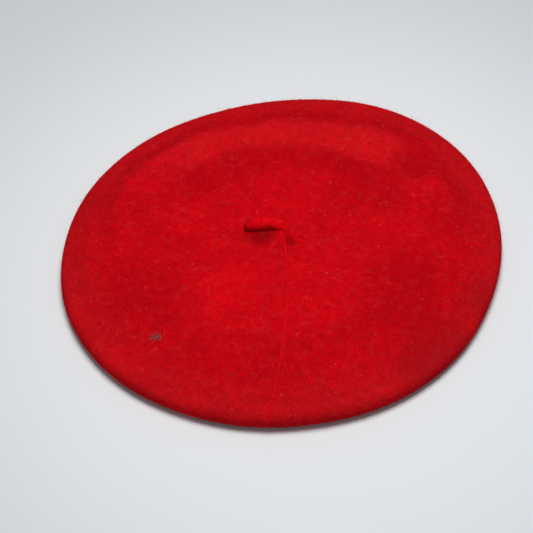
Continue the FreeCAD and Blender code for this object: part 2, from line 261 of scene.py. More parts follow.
@dataclass(frozen=True)
class FulledWool:
    """Knitted wool milled to felt: matt, mottled, with the knitting's rows just showing.

    Each patch of painted light, shade and wear has its place to X and to Y and its reach, in millimetres, and its
    strength.
    """

    name: str = "red_fulled_wool"
    deep: Colour = (0.400, 0.0015, 0.0048)
    bright: Colour = (0.665, 0.0022, 0.0068)
    pale: Colour = (0.64, 0.115, 0.115)
    # The dark colour that the painted shade and shadow mix towards.
    shade_colour: Colour = (0.05, 0.001, 0.002)
    wedges: int = 12
    row_pitch: float = 2.3 * MM
    row_sway: float = 2.4 * MM
    cloud_pitch: float = 17 * MM
    lump_pitch: float = 5.5 * MM
    flock_pitch: float = 2.0 * MM
    hair_pitch: float = 0.42 * MM
    patch_pitch: float = 42 * MM
    haze_pitch: float = 5.0 * MM
    speck_pitch: float = 2.2 * MM
    relief: float = 1.05 * MM
    # A pale painted sheen round the rim and on the back of the ring.
    rim_sheen: float = 0.028
    ridge_sheen: float = 0.026
    # Painted shade round the rim.
    rim_shade: float = 0.03
    # Painted highlight on the ring's top, and painted shade on the slope inside it at the back.
    ridge_highlight: float = 0.08
    hollow_shade: float = 0.16
    sheen: float = 0.05
    # Painted shade low on the stalk's own side.
    underside: float = 0.0
    # Patches partly of wear and partly painted light and shade; by the stalk's root, painted shadow and highlight.
    worn: tuple[Spot, ...] = (
        (-92, 6, 34, -0.18), (-84, -42, 34, -0.16), (-64, -58, 28, -0.20), (70, -44, 38, -0.24), (45, -66, 30, -0.12),
        (94, -86, 40, -0.34), (80, -22, 28, -0.16), (8, -92, 44, -0.08), (42, 49, 22, -0.08), (80, 56, 22, -0.14),
        (-30, -40, 32, 0.12), (-106, -94, 28, 0.14), (-60, -126, 28, 0.12), (-128, -58, 24, 0.10), (98, 14, 28, -0.20),
        (116, -40, 26, -0.18), (-70, 14, 26, 0.12), (40, 34, 22, -0.08), (-15, -1.5, 9, -0.40), (4.0, -3.0, 5, -0.60),
        (-2.2, -1.2, 5, 0.25))
    # Painted shadow under the stalk on the crown, and painted shade in the dimple by its root.
    shade_spots: tuple[Spot, ...] = (
        (-24, 0.2, 9, 0.12), (-20, 0.4, 9, 0.13), (-16, 0.6, 9, 0.14), (-12, 0.8, 8, 0.16), (-8.5, 1.2, 6, 0.18),
        (3.6, -2.6, 3.8, 0.26))

    def rows(self, sheet: NodeSheet, place: Reading) -> Reading:
        """The knitted rows, which run outwards side by side within each wedge of the crown.

        Args:
            sheet: The material being drawn up.
            place: The place on the crown.

        Returns:
            A wave from 0 to 1 across the rows.
        """
        x, y, _ = sheet.parts(place)
        wedge = TURN / self.wedges
        angle = y.angle_to(x)
        middle = ((angle / wedge).floor() + 0.5) * wedge
        across = y * middle.cosine() - x * middle.sine()
        sway = sheet.noise(place, 22 * MM) * self.row_sway
        return ((across + sway) * (TURN / self.row_pitch)).sine() * 0.5 + 0.5

    def rim(self, sheet: NodeSheet, place: Reading) -> Reading:
        """How near the rim a place is, where the felt is painted darker as shade and paler as sheen.

        Args:
            sheet: The material being drawn up.
            place: The place on the crown.

        Returns:
            A share from 0 to 1.
        """
        x, y, _ = sheet.parts(place)
        ring = (x * x + y * y) ** 0.5
        out = ring / ((y.angle_to(x) * 2 - 0.94).cosine() * (7.2 * MM) + 135 * MM)
        return (out + sheet.noise(place, 30 * MM) * 0.10).between(0.80, 1.06)

    def wear_and_shading(self, sheet: NodeSheet, place: Reading) -> Reading:
        """Painted highlight on the ring's top, painted shade on the slope inside it, and patches of wear and light.

        Args:
            sheet: The material being drawn up.
            place: The place on the felt.

        Returns:
            What is added to the felt's tone.
        """
        x, y, z = sheet.parts(place)
        # Painted highlight on the ring's high top, and painted shade on the slope inside it at the back.
        lit_ridge_top = z.between(25.0 * MM, 27.4 * MM)
        hollow = (z.between(19.4 * MM, 21.6 * MM) - z.between(24.4 * MM, 26.8 * MM)) * y.between(0, 40 * MM)
        shade = lit_ridge_top * self.ridge_highlight - hollow * self.hollow_shade
        # The worn patches paint both wear and light and shade.
        return shade + self.spots(x, y, self.worn) if self.worn else shade

    @staticmethod
    def sheen_ridge(sheet: NodeSheet, place: Reading) -> Reading:
        """Where a pale painted sheen lies on the back of the crown's ring, from 0 to 1."""
        _, y, z = sheet.parts(place)
        return z.between(23.5 * MM, 27.0 * MM) * y.between(20 * MM, 80 * MM)

    def painted_shade(self, sheet: NodeSheet, place: Reading) -> Any:
        """How far painted shade darkens the felt: round the rim, by the stalk on the crown and low on the stalk's own
        side.

        Args:
            sheet: The material being drawn up.
            place: The place on the felt.

        Returns:
            A share from 0 to 1.
        """
        x, y, z = sheet.parts(place)
        if self.shade_spots:
            # Painted shade round the rim, and painted shadow and shade by the stalk.
            return self.rim(sheet, place) * self.rim_shade + self.spots(x, y, self.shade_spots)
        # Painted shade low on the stalk's side.
        return z.between(26.2 * MM, 22.8 * MM) * x.between(-2.0 * MM, -9.0 * MM) * self.underside

    @staticmethod
    def spots(x: Reading, y: Reading, places: tuple[Spot, ...]) -> Reading:
        """Soft round patches, each with its place, its reach and its strength.

        Args:
            x: The place to X.
            y: The place to Y.
            places: Each patch's X, Y and reach, in millimetres, and its strength.

        Returns:
            Their sum.
        """
        total: Any = 0.0
        for spot_x, spot_y, reach, amount in places:
            beside, beyond = x - spot_x * MM, y - spot_y * MM
            near = ((beside * beside + beyond * beyond) / (reach * MM) ** 2).between(1.0, 0.0)
            total = near * near * amount + total
        return total

    def paleness(self, sheet: NodeSheet, place: Reading, flock: Reading) -> Reading:
        """How pale the wool is, from a haze of broken fibres, undyed specks in the flock and a painted sheen on the rim
        and ring.

        Args:
            sheet: The material being drawn up.
            place: The place on the felt.
            flock: The felt's small tufts, from 0 to 1.

        Returns:
            A share from 0 to 1.
        """
        cells = {"Vector": place, "Scale": 1 / self.speck_pitch}
        stray = sheet.add("ShaderNodeTexVoronoi", {"feature": "F1"}, cells, "Color")
        speck = sheet.parts(stray)[0].between(0.95, 1.0) * flock.between(0.50, 0.70)
        haze = sheet.noise(place, self.haze_pitch, 4.0, 0.62).between(0.38, 0.74)
        # Painted sheen: paler round the rim and on the ring's back.
        painted_sheen = self.rim(sheet, place) * self.rim_sheen + self.sheen_ridge(sheet, place) * self.ridge_sheen
        return haze * haze * 0.045 + speck * 0.20 + painted_sheen

    def material(self) -> bpy.types.Material:
        """Draws up the felt.

        Returns:
            Its material.
        """
        sheet = NodeSheet(self.name)
        place = sheet.place()
        clouds = sheet.noise(place, self.cloud_pitch, 2.0, 0.55)
        lumps = sheet.noise(place, self.lump_pitch, 3.0, 0.62)
        flock = sheet.noise(place, self.flock_pitch, 2.0, 0.6)
        hairs = sheet.noise(place, self.hair_pitch, 2.0, 0.7)
        patches = sheet.noise(place, self.patch_pitch, 2.0, 0.5).between(0.40, 0.62)
        rows = self.rows(sheet, place) * patches
        tone = clouds * 0.30 + lumps * 0.54 + flock * 0.66 + hairs * 0.02 + rows * 0.13 - 0.34
        tone = tone + self.wear_and_shading(sheet, place)
        red = sheet.mixed(tone.between(0.10, 0.92), self.deep, self.bright)
        hazed = sheet.mixed(self.paleness(sheet, place, flock), red, self.pale)
        # Painted shade and shadow mixed into the colour.
        shaded = sheet.mixed(self.painted_shade(sheet, place), hazed, self.shade_colour)
        height = flock * 0.44 + lumps * 0.34 + hairs * 0.16 + rows * 0.16
        return sheet.done({
            "Base Color": shaded,
            "Roughness": 0.88 + flock * 0.1,
            "Normal": sheet.bump(height, self.relief),
            "Specular IOR Level": 0.0,
            "Sheen Weight": self.sheen,
            "Sheen Roughness": 0.5,
            "Sheen Tint": (1.0, 0.05, 0.06, 1.0),
        })


@dataclass(frozen=True)
class WoolFibre:
    """Single wool fibres, darker at the root and lit through at the tip."""

    name: str
    root: Colour
    tip: Colour

    def material(self) -> bpy.types.Material:
        """Draws up the fibre from its own map, whose U picks a fibre's shade and whose V runs along it.

        Returns:
            Its material.
        """
        sheet = NodeSheet(self.name)
        u, v, _ = sheet.parts(sheet.add("ShaderNodeUVMap", {"uv_map": FIBRE_CHART}))
        shade = u * 0.7 + v * 0.3
        colour = sheet.mixed(shade, self.root, self.tip)
        return sheet.done({
            "Base Color": colour,
            "Roughness": 0.85,
            "Specular IOR Level": 0.02,
        })


@dataclass(frozen=True)
class SpunYarn:
    """Spun thread or yarn, with fine plies across it."""

    name: str
    dark: Colour
    light: Colour
    pitch: float = 0.5 * MM
    roughness: float = 0.8

    def material(self) -> bpy.types.Material:
        """Draws up the yarn.

        Returns:
            Its material.
        """
        sheet = NodeSheet(self.name)
        place = sheet.place()
        ply = sheet.noise(place, self.pitch, 3.0, 0.65)
        return sheet.done({
            "Base Color": sheet.mixed(ply.between(0.3, 0.7), self.dark, self.light),
            "Roughness": self.roughness - ply * 0.1,
            "Normal": sheet.bump(ply, self.pitch * 0.5),
            "Specular IOR Level": 0.04,
        })


@dataclass(frozen=True)
class Leather:
    """Fine-grained sheepskin, creased a little and worn glossy on its high spots."""

    name: str = "dark_sheepskin"
    dark: Colour = (0.022, 0.012, 0.009)
    worn: Colour = (0.060, 0.034, 0.024)
    grain: float = 0.9 * MM

    def material(self) -> bpy.types.Material:
        """Draws up the leather.

        Returns:
            Its material.
        """
        sheet = NodeSheet(self.name)
        place = sheet.place()
        cells = sheet.add("ShaderNodeTexVoronoi", {"feature": "DISTANCE_TO_EDGE"},
                          {"Vector": place, "Scale": 1 / self.grain})
        creases = sheet.noise(place, 7 * MM, 3.0, 0.6)
        rub = sheet.noise(place, 24 * MM, 2.0, 0.5).between(0.42, 0.66)
        height = cells.between(0.0, 0.12) * 0.7 + creases * 0.3
        return sheet.done({
            "Base Color": sheet.mixed(rub * 0.6 + creases * 0.2, self.dark, self.worn),
            "Roughness": 0.58 - rub * 0.16,
            "Normal": sheet.bump(height, 0.12 * MM),
            "Specular IOR Level": 0.45,
        })


class Weave(Enum):
    """The weaves of the beret's narrow and lining cloths, as (pitch across, pitch along, relief), in metres."""

    SATIN = (0.22 * MM, 1.5 * MM, 0.03 * MM)
    GROSGRAIN = (9.0 * MM, 0.9 * MM, 0.22 * MM)
    TAPE = (0.45 * MM, 0.45 * MM, 0.05 * MM)


@dataclass(frozen=True)
class WovenCloth:
    """Woven cloth whose threads are drawn in its own frame."""

    name: str
    dark: Colour
    light: Colour
    weave: Weave
    roughness: float
    sheen: float = 0.0

    def material(self) -> bpy.types.Material:
        """Draws up the cloth.

        Returns:
            Its material.
        """
        sheet = NodeSheet(self.name)
        place = sheet.place()
        x, y, z = sheet.parts(place)
        across, along, relief = self.weave.value
        warp = ((x + z * 0.35) * (TURN / across)).sine() * 0.5 + 0.5
        weft = ((y + z) * (TURN / along)).sine() * 0.5 + 0.5
        slub = sheet.noise(sheet.vector(x * 0.25, y, z), 1.2 * MM, 2.0, 0.6)
        shade = sheet.noise(place, 30 * MM, 2.0, 0.5)
        height = warp * 0.4 + weft * 0.4 + slub * 0.2
        return sheet.done({
            "Base Color": sheet.mixed(shade * 0.5 + slub * 0.4 + weft * 0.1, self.dark, self.light),
            "Roughness": self.roughness + slub * 0.12,
            "Normal": sheet.bump(height, relief),
            "Specular IOR Level": 0.5,
            "Sheen Weight": self.sheen,
        })


@dataclass(frozen=True)
class ClearVinyl:
    """Thin clear plastic, a little hazed by handling."""

    name: str = "clear_soft_vinyl"

    def material(self) -> bpy.types.Material:
        """Draws up the plastic.

        Returns:
            Its material.
        """
        sheet = NodeSheet(self.name)
        haze = sheet.noise(sheet.place(), 9 * MM, 3.0, 0.6)
        return sheet.done({
            "Base Color": sheet.mixed(haze, (0.80, 0.82, 0.80), (0.90, 0.90, 0.87)),
            "Roughness": 0.14 + haze * 0.2,
            "Alpha": 0.13 + haze * 0.10,
            "Normal": sheet.bump(haze, 0.05 * MM),
        })


@dataclass(frozen=True)
class PaleTable:
    """The plain pale surface that the beret lies on."""

    name: str = "pale_table"
    cool: Colour = (0.700, 0.730, 0.758)
    warm: Colour = (0.722, 0.744, 0.766)
    lit_middle: tuple[float, float] = (0.02, -0.03)
    lit_reach: tuple[float, float] = (0.13, 0.34)
    painted_falloff: float = 0.15

    def material(self) -> bpy.types.Material:
        """Draws up the table.

        Returns:
            Its material.
        """
        sheet = NodeSheet(self.name)
        place = sheet.place()
        x, y, _ = sheet.parts(place)
        beside, beyond = x - self.lit_middle[0], y - self.lit_middle[1]
        # Painted shade: the table darkens away from its lit middle, as the light falls off.
        away = ((beside * beside + beyond * beyond) ** 0.5).between(*self.lit_reach)
        drift = sheet.mixed(sheet.noise(place, 0.4, 2.0, 0.5), self.cool, self.warm)
        return sheet.done({
            "Base Color": sheet.mixed(away * self.painted_falloff, drift, (0.0, 0.0, 0.0)),
            "Roughness": 0.62,
            "Specular IOR Level": 0.25,
        })


# ---------------------------------------------------------------- mesh helpers


@dataclass
class Shape:
    """The points and faces of a mesh while it is being made, its faces as blocks of rows of point numbers."""

    points: Array
    faces: list[Array]
    shades: Array | None = None

    def __add__(self, other: "Shape") -> "Shape":
        """Both shapes as one."""
        moved = [block + len(self.points) for block in other.faces]
        return Shape(np.concatenate([self.points, other.points]), self.faces + moved)

    def piece(self, name: str, material: bpy.types.Material, slot: str, body: str = "beret",
              nodes: tuple[str, ...] = ()) -> bpy.types.Object:
        """Makes the mesh object, which rides on a body.

        Args:
            name: The piece's name.
            material: Its finish.
            slot: The material slot that the finish belongs to; not used.
            body: The body it rides on, or "" for none.
            nodes: The plain solids that it stands for.

        Returns:
            The new object.
        """
        mesh = bpy.data.meshes.new(name)
        corners = np.concatenate([block.reshape(-1) for block in self.faces]).astype(np.int32)
        sizes = np.concatenate([np.full(len(block), block.shape[1]) for block in self.faces]).astype(np.int32)
        mesh.vertices.add(len(self.points))
        mesh.vertices.foreach_set("co", np.ascontiguousarray(self.points, np.float32).reshape(-1))
        mesh.loops.add(len(corners))
        mesh.loops.foreach_set("vertex_index", corners)
        mesh.polygons.add(len(sizes))
        mesh.polygons.foreach_set("loop_start", np.concatenate([[0], np.cumsum(sizes)[:-1]]).astype(np.int32))
        mesh.polygons.foreach_set("use_smooth", np.ones(len(sizes), bool))
        if self.shades is not None:
            chart = mesh.uv_layers.new(name=FIBRE_CHART)
            chart.data.foreach_set("uv", self.shades[corners].astype(np.float32).reshape(-1))
        mesh.update(calc_edges=True)
        mesh.validate()
        mesh.materials.append(material)
        piece = bpy.data.objects.new(name, mesh)
        bpy.context.scene.collection.objects.link(piece)
        if nodes:
            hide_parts(*nodes)
        if body:
            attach(piece, body)
        LOG.info("%s: %d faces", name, len(sizes))
        return piece


def ring_faces(rings: int, sides: int, closed: bool = True, start: int = 0) -> Array:
    """Faces between rings of points that follow one another.

    Args:
        rings: How many rings there are.
        sides: How many points each ring has.
        closed: Whether each ring's last point joins its first.
        start: The first point's number.

    Returns:
        An array of quads.
    """
    ring = np.arange(rings - 1)[:, None] * sides
    step = np.arange(sides if closed else sides - 1)[None, :]
    following = (step + 1) % sides
    quads = np.stack([ring + step, ring + sides + step, ring + sides + following, ring + following], -1)
    return quads.reshape(-1, 4) + start


def ease(value: Array, low: float, high: float) -> Array:
    """Goes smoothly from 0 at low to 1 at high."""
    share = np.clip((value - low) / (high - low), 0, 1)
    return share * share * (3 - 2 * share)


def spline(values: Array, place: Array) -> Array:
    """A smooth curve through evenly spaced values.

    Args:
        values: The values that it goes through.
        place: Where to read it, in steps from the first value.

    Returns:
        Its values there.
    """
    padded = np.concatenate([[2 * values[0] - values[1]], values, [2 * values[-1] - values[-2]]])
    start = np.clip(place.astype(int), 0, len(values) - 2)
    t = place - start
    before, first, second, after = (padded[start + shift] for shift in range(4))
    return 0.5 * (2 * first + (second - before) * t + (2 * before - 5 * first + 4 * second - after) * t**2
                  + (3 * first - 3 * second + after - before) * t**3)


def unit(vectors: Array) -> Array:
    """Vectors scaled to a length of 1."""
    return vectors / np.maximum(np.linalg.norm(vectors, axis=-1, keepdims=True), 1e-12)


def closed_rings(rings: Array, first: Array, last: Array) -> Shape:
    """A closed shape of rings of points, drawn together to a point at each end.

    Args:
        rings: An array of rings, sides and places.
        first: The point before the first ring.
        last: The point after the last ring.

    Returns:
        The shape.
    """
    count, sides, _ = rings.shape
    points = np.concatenate([rings.reshape(-1, 3), [first], [last]])
    step = np.arange(sides)
    following = (step + 1) % sides
    end = (count - 1) * sides
    near = np.stack([np.full(sides, count * sides), step, following], -1)
    far = np.stack([np.full(sides, count * sides + 1), end + following, end + step], -1)
    return Shape(points, [ring_faces(count, sides), near, far])


def tube(path: Array, radii: Array, sides: int, squeeze: float = 1.0) -> Shape:
    """A closed round or flattened tube along a path.

    Args:
        path: The middle line's points.
        radii: The tube's radius at each point.
        sides: How many sides it has.
        squeeze: Its thickness over its width.

    Returns:
        The shape.
    """
    heading = unit(np.gradient(path, axis=0))
    across = unit(np.cross(heading, np.array([0.013, 0.021, 1.0])))
    over = np.cross(across, heading)
    angles = TURN * np.arange(sides) / sides
    cos, sin = np.cos(angles)[None, :, None], np.sin(angles)[None, :, None]
    rings = path[:, None] + radii[:, None, None] * (across[:, None] * cos + over[:, None] * sin * squeeze)
    return closed_rings(rings, path[0], path[-1])


def strands(paths: Array, radius: Array, sides: int = 3) -> Shape:
    """Many fine closed fibres at once, pointed at both ends.

    Args:
        paths: An array of fibres, points along them and places.
        radius: Each fibre's radius.
        sides: How many sides each has.

    Returns:
        The shape, with each fibre's points together: its first tip, its rings and its last tip.
    """
    count, steps, _ = paths.shape
    paths = np.concatenate([paths[..., :2], np.maximum(paths[..., 2:], 0.08 * MM)], -1)
    heading = unit(np.gradient(paths, axis=1))
    across = unit(np.cross(heading, np.array([0.31, 0.17, 0.93])))
    over = np.cross(across, heading)
    angles = TURN * np.arange(sides) / sides
    cos, sin = np.cos(angles)[None, None, :, None], np.sin(angles)[None, None, :, None]
    wide = radius[:, None, None, None] * (across[:, :, None] * cos + over[:, :, None] * sin)
    rings = (paths[:, :, None] + wide)[:, 1:-1].reshape(count, -1, 3)
    points = np.concatenate([paths[:, :1], rings, paths[:, -1:]], 1)
    size = points.shape[1]
    base = (np.arange(count) * size)[:, None, None]
    step = np.arange(sides)
    following = (step + 1) % sides
    first = np.stack([np.zeros(sides, int), 1 + step, 1 + following], -1)
    last_ring = 1 + (steps - 3) * sides
    last = np.stack([np.full(sides, size - 1), last_ring + following, last_ring + step], -1)
    faces = [(base + np.concatenate([first, last])[None]).reshape(-1, 3)]
    if steps > 3:
        faces.append((base + ring_faces(steps - 2, sides, start=1)[None]).reshape(-1, 4))
    along = np.concatenate([[0], np.repeat(np.arange(1, steps - 1), sides), [steps - 1]]) / (steps - 1)
    aside = np.concatenate([[0.5], np.tile(np.arange(sides) / sides, steps - 2), [0.5]])
    shade = np.linspace(0.01, 0.97, count)[:, None] + aside[None] * 0.02
    shades = np.stack([shade, np.broadcast_to(0.02 + 0.96 * along, shade.shape)], -1).reshape(-1, 2)
    return Shape(points.reshape(-1, 3), faces, shades)


def slab(front: Array, back: Array) -> Shape:
    """A closed thin sheet between two grids of points.

    Args:
        front: An array of rows, columns and places.
        back: The same for the other face.

    Returns:
        The shape.
    """
    rows, columns, _ = front.shape
    count = rows * columns
    inner = ring_faces(rows, columns, closed=False)
    order = np.arange(count).reshape(rows, columns)
    brink = np.concatenate([order[0], order[1:, -1], order[-1, -2::-1], order[-2:0:-1, 0]])
    following = np.roll(brink, -1)
    walls = np.stack([brink, following, following + count, brink + count], -1)
    points = np.concatenate([front.reshape(-1, 3), back.reshape(-1, 3)])
    return Shape(points, [inner, inner[:, ::-1] + count, walls])


def strip(path: Array, across: Array, thick: float) -> Shape:
    """A closed flat strip along a path.

    Args:
        path: The strip's middle line.
        across: From the middle line to one edge, at each point.
        thick: The strip's thickness.

    Returns:
        The shape.
    """
    over = unit(np.cross(unit(np.gradient(path, axis=0)), across)) * thick / 2
    shares = np.array([-1, -0.93, -0.5, 0, 0.5, 0.93, 1])
    depth = np.array([0.3, 1, 1, 1, 1, 1, 0.3])
    flat = path[:, None] + across[:, None] * shares[None, :, None]
    lift = over[:, None] * depth[None, :, None]
    return slab(flat + lift, flat - lift)


class Ripples:
    """Smooth, repeatable unevenness over a plane, made of crossing waves."""

    def __init__(self, seed: int, pitch: float, waves: int = 24) -> None:
        """Draws the waves' headings, lengths and phases.

        Args:
            seed: The start of the random draws.
            pitch: The waves' usual length.
            waves: How many waves cross.
        """
        draw = np.random.default_rng(seed)
        heading = draw.uniform(0, TURN, waves)
        length = pitch * draw.uniform(0.7, 1.5, waves)
        self.pull = np.stack([np.cos(heading), np.sin(heading)]) * (TURN / length)
        self.phase = draw.uniform(0, TURN, waves)

    def at(self, x: Array, y: Array) -> Array:
        """The unevenness over points of the plane.

        Args:
            x: The points' places to X.
            y: The points' places to Y.

        Returns:
            Heights, mostly between -1 and 1.
        """
        total = np.zeros(np.broadcast(x, y).shape)
        for pull_x, pull_y, phase in zip(*self.pull, self.phase, strict=True):
            total = total + np.sin(x * pull_x + y * pull_y + phase)
        return total * math.sqrt(2 / len(self.phase)) / 2


# ---------------------------------------------------------------- the crown's form


@dataclass(frozen=True)
class Dent:
    """A soft hollow, or a swelling where its depth is negative, in the crown's top."""

    x: float
    y: float
    long: float
    wide: float
    heading: float
    depth: float

    def at(self, x: Array, y: Array) -> Array:
        """How far it lowers the crown.

        Args:
            x: Places to X.
            y: Places to Y.

        Returns:
            The depths there.
        """
        turn = math.radians(self.heading)
        along = (x - self.x) * math.cos(turn) + (y - self.y) * math.sin(turn)
        across = (y - self.y) * math.cos(turn) - (x - self.x) * math.sin(turn)
        return self.depth * np.exp(-((along / self.long) ** 2) - (across / self.wide) ** 2)


@dataclass
class CrownForm:
    """The outer face of the felt as it lies: a slack top over a ring, a soft rim and a flat underside."""

    radius: float
    felt: float = 2.4 * MM
    opening: float = 88.3 * MM
    outline_pulls: tuple[Pull, ...] = (
        (1, 0.004, 80), (2, 0.0536, 54), (3, 0.0116, 164), (4, 0.0058, 165), (7, 0.0012, 33), (11, 0.0009, 0))
    edge_half: float = 6.6 * MM
    middle_height: float = 18.5 * MM
    crest_height: float = 28.2 * MM
    crest_radius: float = 85.7 * MM
    crest_pulls: tuple[Pull, ...] = ((1, 0.132, 105), (2, 0.12, 16), (3, 0.037, 110), (4, 0.002, -5))
    fall_bow: float = 1.35
    crest_softness: float = 2.3 * MM
    root: tuple[float, float] = (-1.9 * MM, 1.9 * MM)
    collar_height: float = 2.6 * MM
    pucker: float = 0.38 * MM
    seam_ridge: float = 0.60 * MM
    dents: list[Dent] = field(default_factory=lambda: [
        Dent(42 * MM, 55 * MM, 16 * MM, 9 * MM, -12, 2.4 * MM),
        Dent(84 * MM, 58 * MM, 14 * MM, 9 * MM, -30, 2.6 * MM),
        Dent(-26 * MM, 60 * MM, 34 * MM, 9 * MM, 12, 1.2 * MM),
        Dent(62 * MM, 70 * MM, 9 * MM, 12 * MM, 0, -1.0 * MM),
        Dent(-78 * MM, -38 * MM, 26 * MM, 14 * MM, -40, 1.3 * MM),
        Dent(60 * MM, -22 * MM, 24 * MM, 15 * MM, 60, 1.3 * MM),
        Dent(-38 * MM, -36 * MM, 22 * MM, 12 * MM, 20, -0.9 * MM),
        Dent(14 * MM, -46 * MM, 26 * MM, 14 * MM, 0, -0.9 * MM),
    ])

    def __post_init__(self) -> None:
        """Draws the felt's unevenness, from the widest swells to the finest lumps."""
        self.swells = Ripples(5, 62 * MM)
        self.buckles = Ripples(11, 24 * MM)
        self.lumps = Ripples(23, 8 * MM, 40)
        self.grain = Ripples(37, 3.4 * MM, 60)

    def outline(self, angle: Array) -> Array:
        """The rim's radius, a little longer across one diagonal than the other."""
        return self.radius * (1 + self.pulled(self.outline_pulls, angle))

    @staticmethod
    def pulled(pulls: tuple[Pull, ...], angle: Array) -> Array:
        """How far a ring is pulled out of round, as a share, by waves of given counts, shares and headings."""
        return sum(share * np.cos(waves * angle - math.radians(heading)) for waves, share, heading in pulls)

    def edge(self, angle: Array) -> Array:
        """Half the height of the rim's edge."""
        return self.edge_half * (1 + 0.05 * np.sin(3 * angle + 0.6) + 0.04 * np.cos(5 * angle))

    def crest(self, angle: Array) -> Array:
        """The distance to the ring that the crown lies over, which sits nearer the middle at the front."""
        return self.crest_radius * (1 + self.pulled(self.crest_pulls, angle))

    def top_end(self, angle: Array) -> tuple[Array, Array, Array]:
        """Where the top meets the rim's round.

        Args:
            angle: Angles round Z.

        Returns:
            Its distances from Z, its heights and its slopes.
        """
        half, rim, crest = self.edge(angle), self.outline(angle), self.crest(angle)
        slope = np.arctan2(self.fall_bow * (self.crest_height - 2 * half), rim - half - crest)
        return rim - half * (1 - np.sin(slope)), half * (1 + np.cos(slope)), slope

    def top_height(self, ring: Array, angle: Array, fine: bool = True) -> Array:
        """The height of the top.

        Args:
            ring: Distances from Z.
            angle: Angles round Z.
            fine: Whether the stalk's collar, the join and the felt's small lumps are in it.

        Returns:
            Heights over the table.
        """
        end, end_height, _ = self.top_end(angle)
        crest = self.crest(angle)
        x, y = ring * np.cos(angle), ring * np.sin(angle)
        behind = ease(np.sin(angle), -0.2, 0.6)
        risen = ease(ring / crest, 0.36 + 0.14 * behind, 1.02 - 0.04 * behind)
        inside = self.middle_height + (self.crest_height - self.middle_height) * risen
        inside = inside + np.clip(ring - crest, 0, None) * 0.5
        fallen = np.clip((ring - crest) / (end - crest), 0, 1) ** self.fall_bow
        outside = self.crest_height - (self.crest_height - end_height) * fallen
        outside = outside + np.clip(crest - ring, 0, None) * 0.12
        soft = self.crest_softness
        height = -soft * np.logaddexp(-inside / soft, -outside / soft)
        settled = ease(end - ring, 0, 16 * MM)
        away = ease(ring, 12 * MM, 42 * MM)
        height = height - sum(dent.at(x, y) for dent in self.dents) * settled * away
        height = height + self.swells.at(x, y) * 0.8 * MM * settled * away
        height = height + self.buckles.at(x, y) * 0.32 * MM * settled * away
        if fine:
            height = height + self.collar(x, y) + self.seam(x, y)
            small = self.lumps.at(x, y) * 0.13 * MM + self.grain.at(x, y) * 0.06 * MM
            height = height + small * ease(ring, 1 * MM, 5 * MM)
        return height

    def collar(self, x: Array, y: Array) -> Array:
        """The felt drawn up round the stalk's root, with small puckers that run out from it.

        Args:
            x: Places to X.
            y: Places to Y.

        Returns:
            How far the felt rises there.
        """
        beside_x, beside_y = x - self.root[0], y - self.root[1]
        ring, angle = np.hypot(beside_x, beside_y), np.arctan2(beside_y, beside_x)
        rise = self.collar_height * np.exp(-((ring / (4.4 * MM)) ** 2))
        gather = 0.6 * np.sin(9 * angle + 0.8) + 0.4 * np.sin(14 * angle + 2.0) + 0.35 * np.sin(5 * angle)
        reach = np.exp(-(((ring - 8.5 * MM) / (6.0 * MM)) ** 2)) * ease(ring, 2 * MM, 6 * MM)
        hollow = Dent(3.4 * MM, -2.2 * MM, 3.4 * MM, 1.9 * MM, -70, 2.8 * MM)
        nub = Dent(-1.8 * MM, -0.6 * MM, 3.4 * MM, 2.6 * MM, 20, -1.3 * MM)
        cushion = Dent(-13 * MM, 5.4 * MM, 12 * MM, 5.0 * MM, 0, -1.5 * MM)
        return rise + gather * self.pucker * reach - hollow.at(x, y) - nub.at(x, y) - cushion.at(x, y)

    @staticmethod
    def seam_offset(y: Array) -> Array:
        """How far the join lies to +X at a place down the back."""
        down = np.clip(-y, 0, None)
        return 0.1129 * down - 1.328 * down**2 - 1.6 * MM * np.exp(-down / (4 * MM))

    def seam(self, x: Array, y: Array) -> Array:
        """The low ridge of the join, between two faint furrows.

        Args:
            x: Places to X.
            y: Places to Y.

        Returns:
            How far the felt rises there.
        """
        aside = (x - self.seam_offset(y)) / MM
        ridge = np.exp(-((aside / 1.5) ** 2)) - 0.50 * np.exp(-((aside / 3.6) ** 2))
        return self.seam_ridge * ridge * ease(-y, -1 * MM, 6 * MM)

    def over(self, x: Array, y: Array, fine: bool = True) -> Array:
        """The top's height over places of the plane."""
        return self.top_height(np.hypot(x, y), np.arctan2(y, x), fine)

    def top_rows(self, depth: float, angles: Array, count: int, fine: bool = True) -> Rows:
        """Rings over the top, from the middle to where the rim's round begins.

        Args:
            depth: How far the rings lie under the outer face.
            angles: The angles of each ring's points.
            count: How many rings there are.
            fine: Whether the felt's small lumps are in them.

        Returns:
            Each ring's distances from Z and heights.
        """
        end, _, slope = self.top_end(angles)
        rows = []
        for share in np.arange(1, count + 1) / count:
            ring = end * share
            turn = slope * ease(ring, self.crest(angles), end)
            height = self.top_height(ring, angles, fine)
            rows.append((ring - depth * np.sin(turn), height - depth * np.cos(turn)))
        return rows

    def rim_rows(self, depth: float, angles: Array, count: int, last_turn: float = -math.pi / 2,
                 first_turn: float | None = None) -> Rows:
        """Rings round the rim, whose turn is measured up from its outermost line.

        Args:
            depth: How far the rings lie under the outer face.
            angles: The angles of each ring's points.
            count: How many rings there are.
            last_turn: The turn of the last ring.
            first_turn: The turn that the first ring follows, or None for the end of the top.

        Returns:
            Each ring's distances from Z and heights.
        """
        slope = self.top_end(angles)[2]
        half, rim = self.edge(angles), self.outline(angles)
        first = math.pi / 2 - slope if first_turn is None else first_turn
        rows = []
        for share in np.arange(1, count + 1) / count:
            turn = first * (1 - share) + last_turn * share
            roll = half - depth
            rows.append((rim - half + roll * np.cos(turn), half + roll * np.sin(turn)))
        return rows

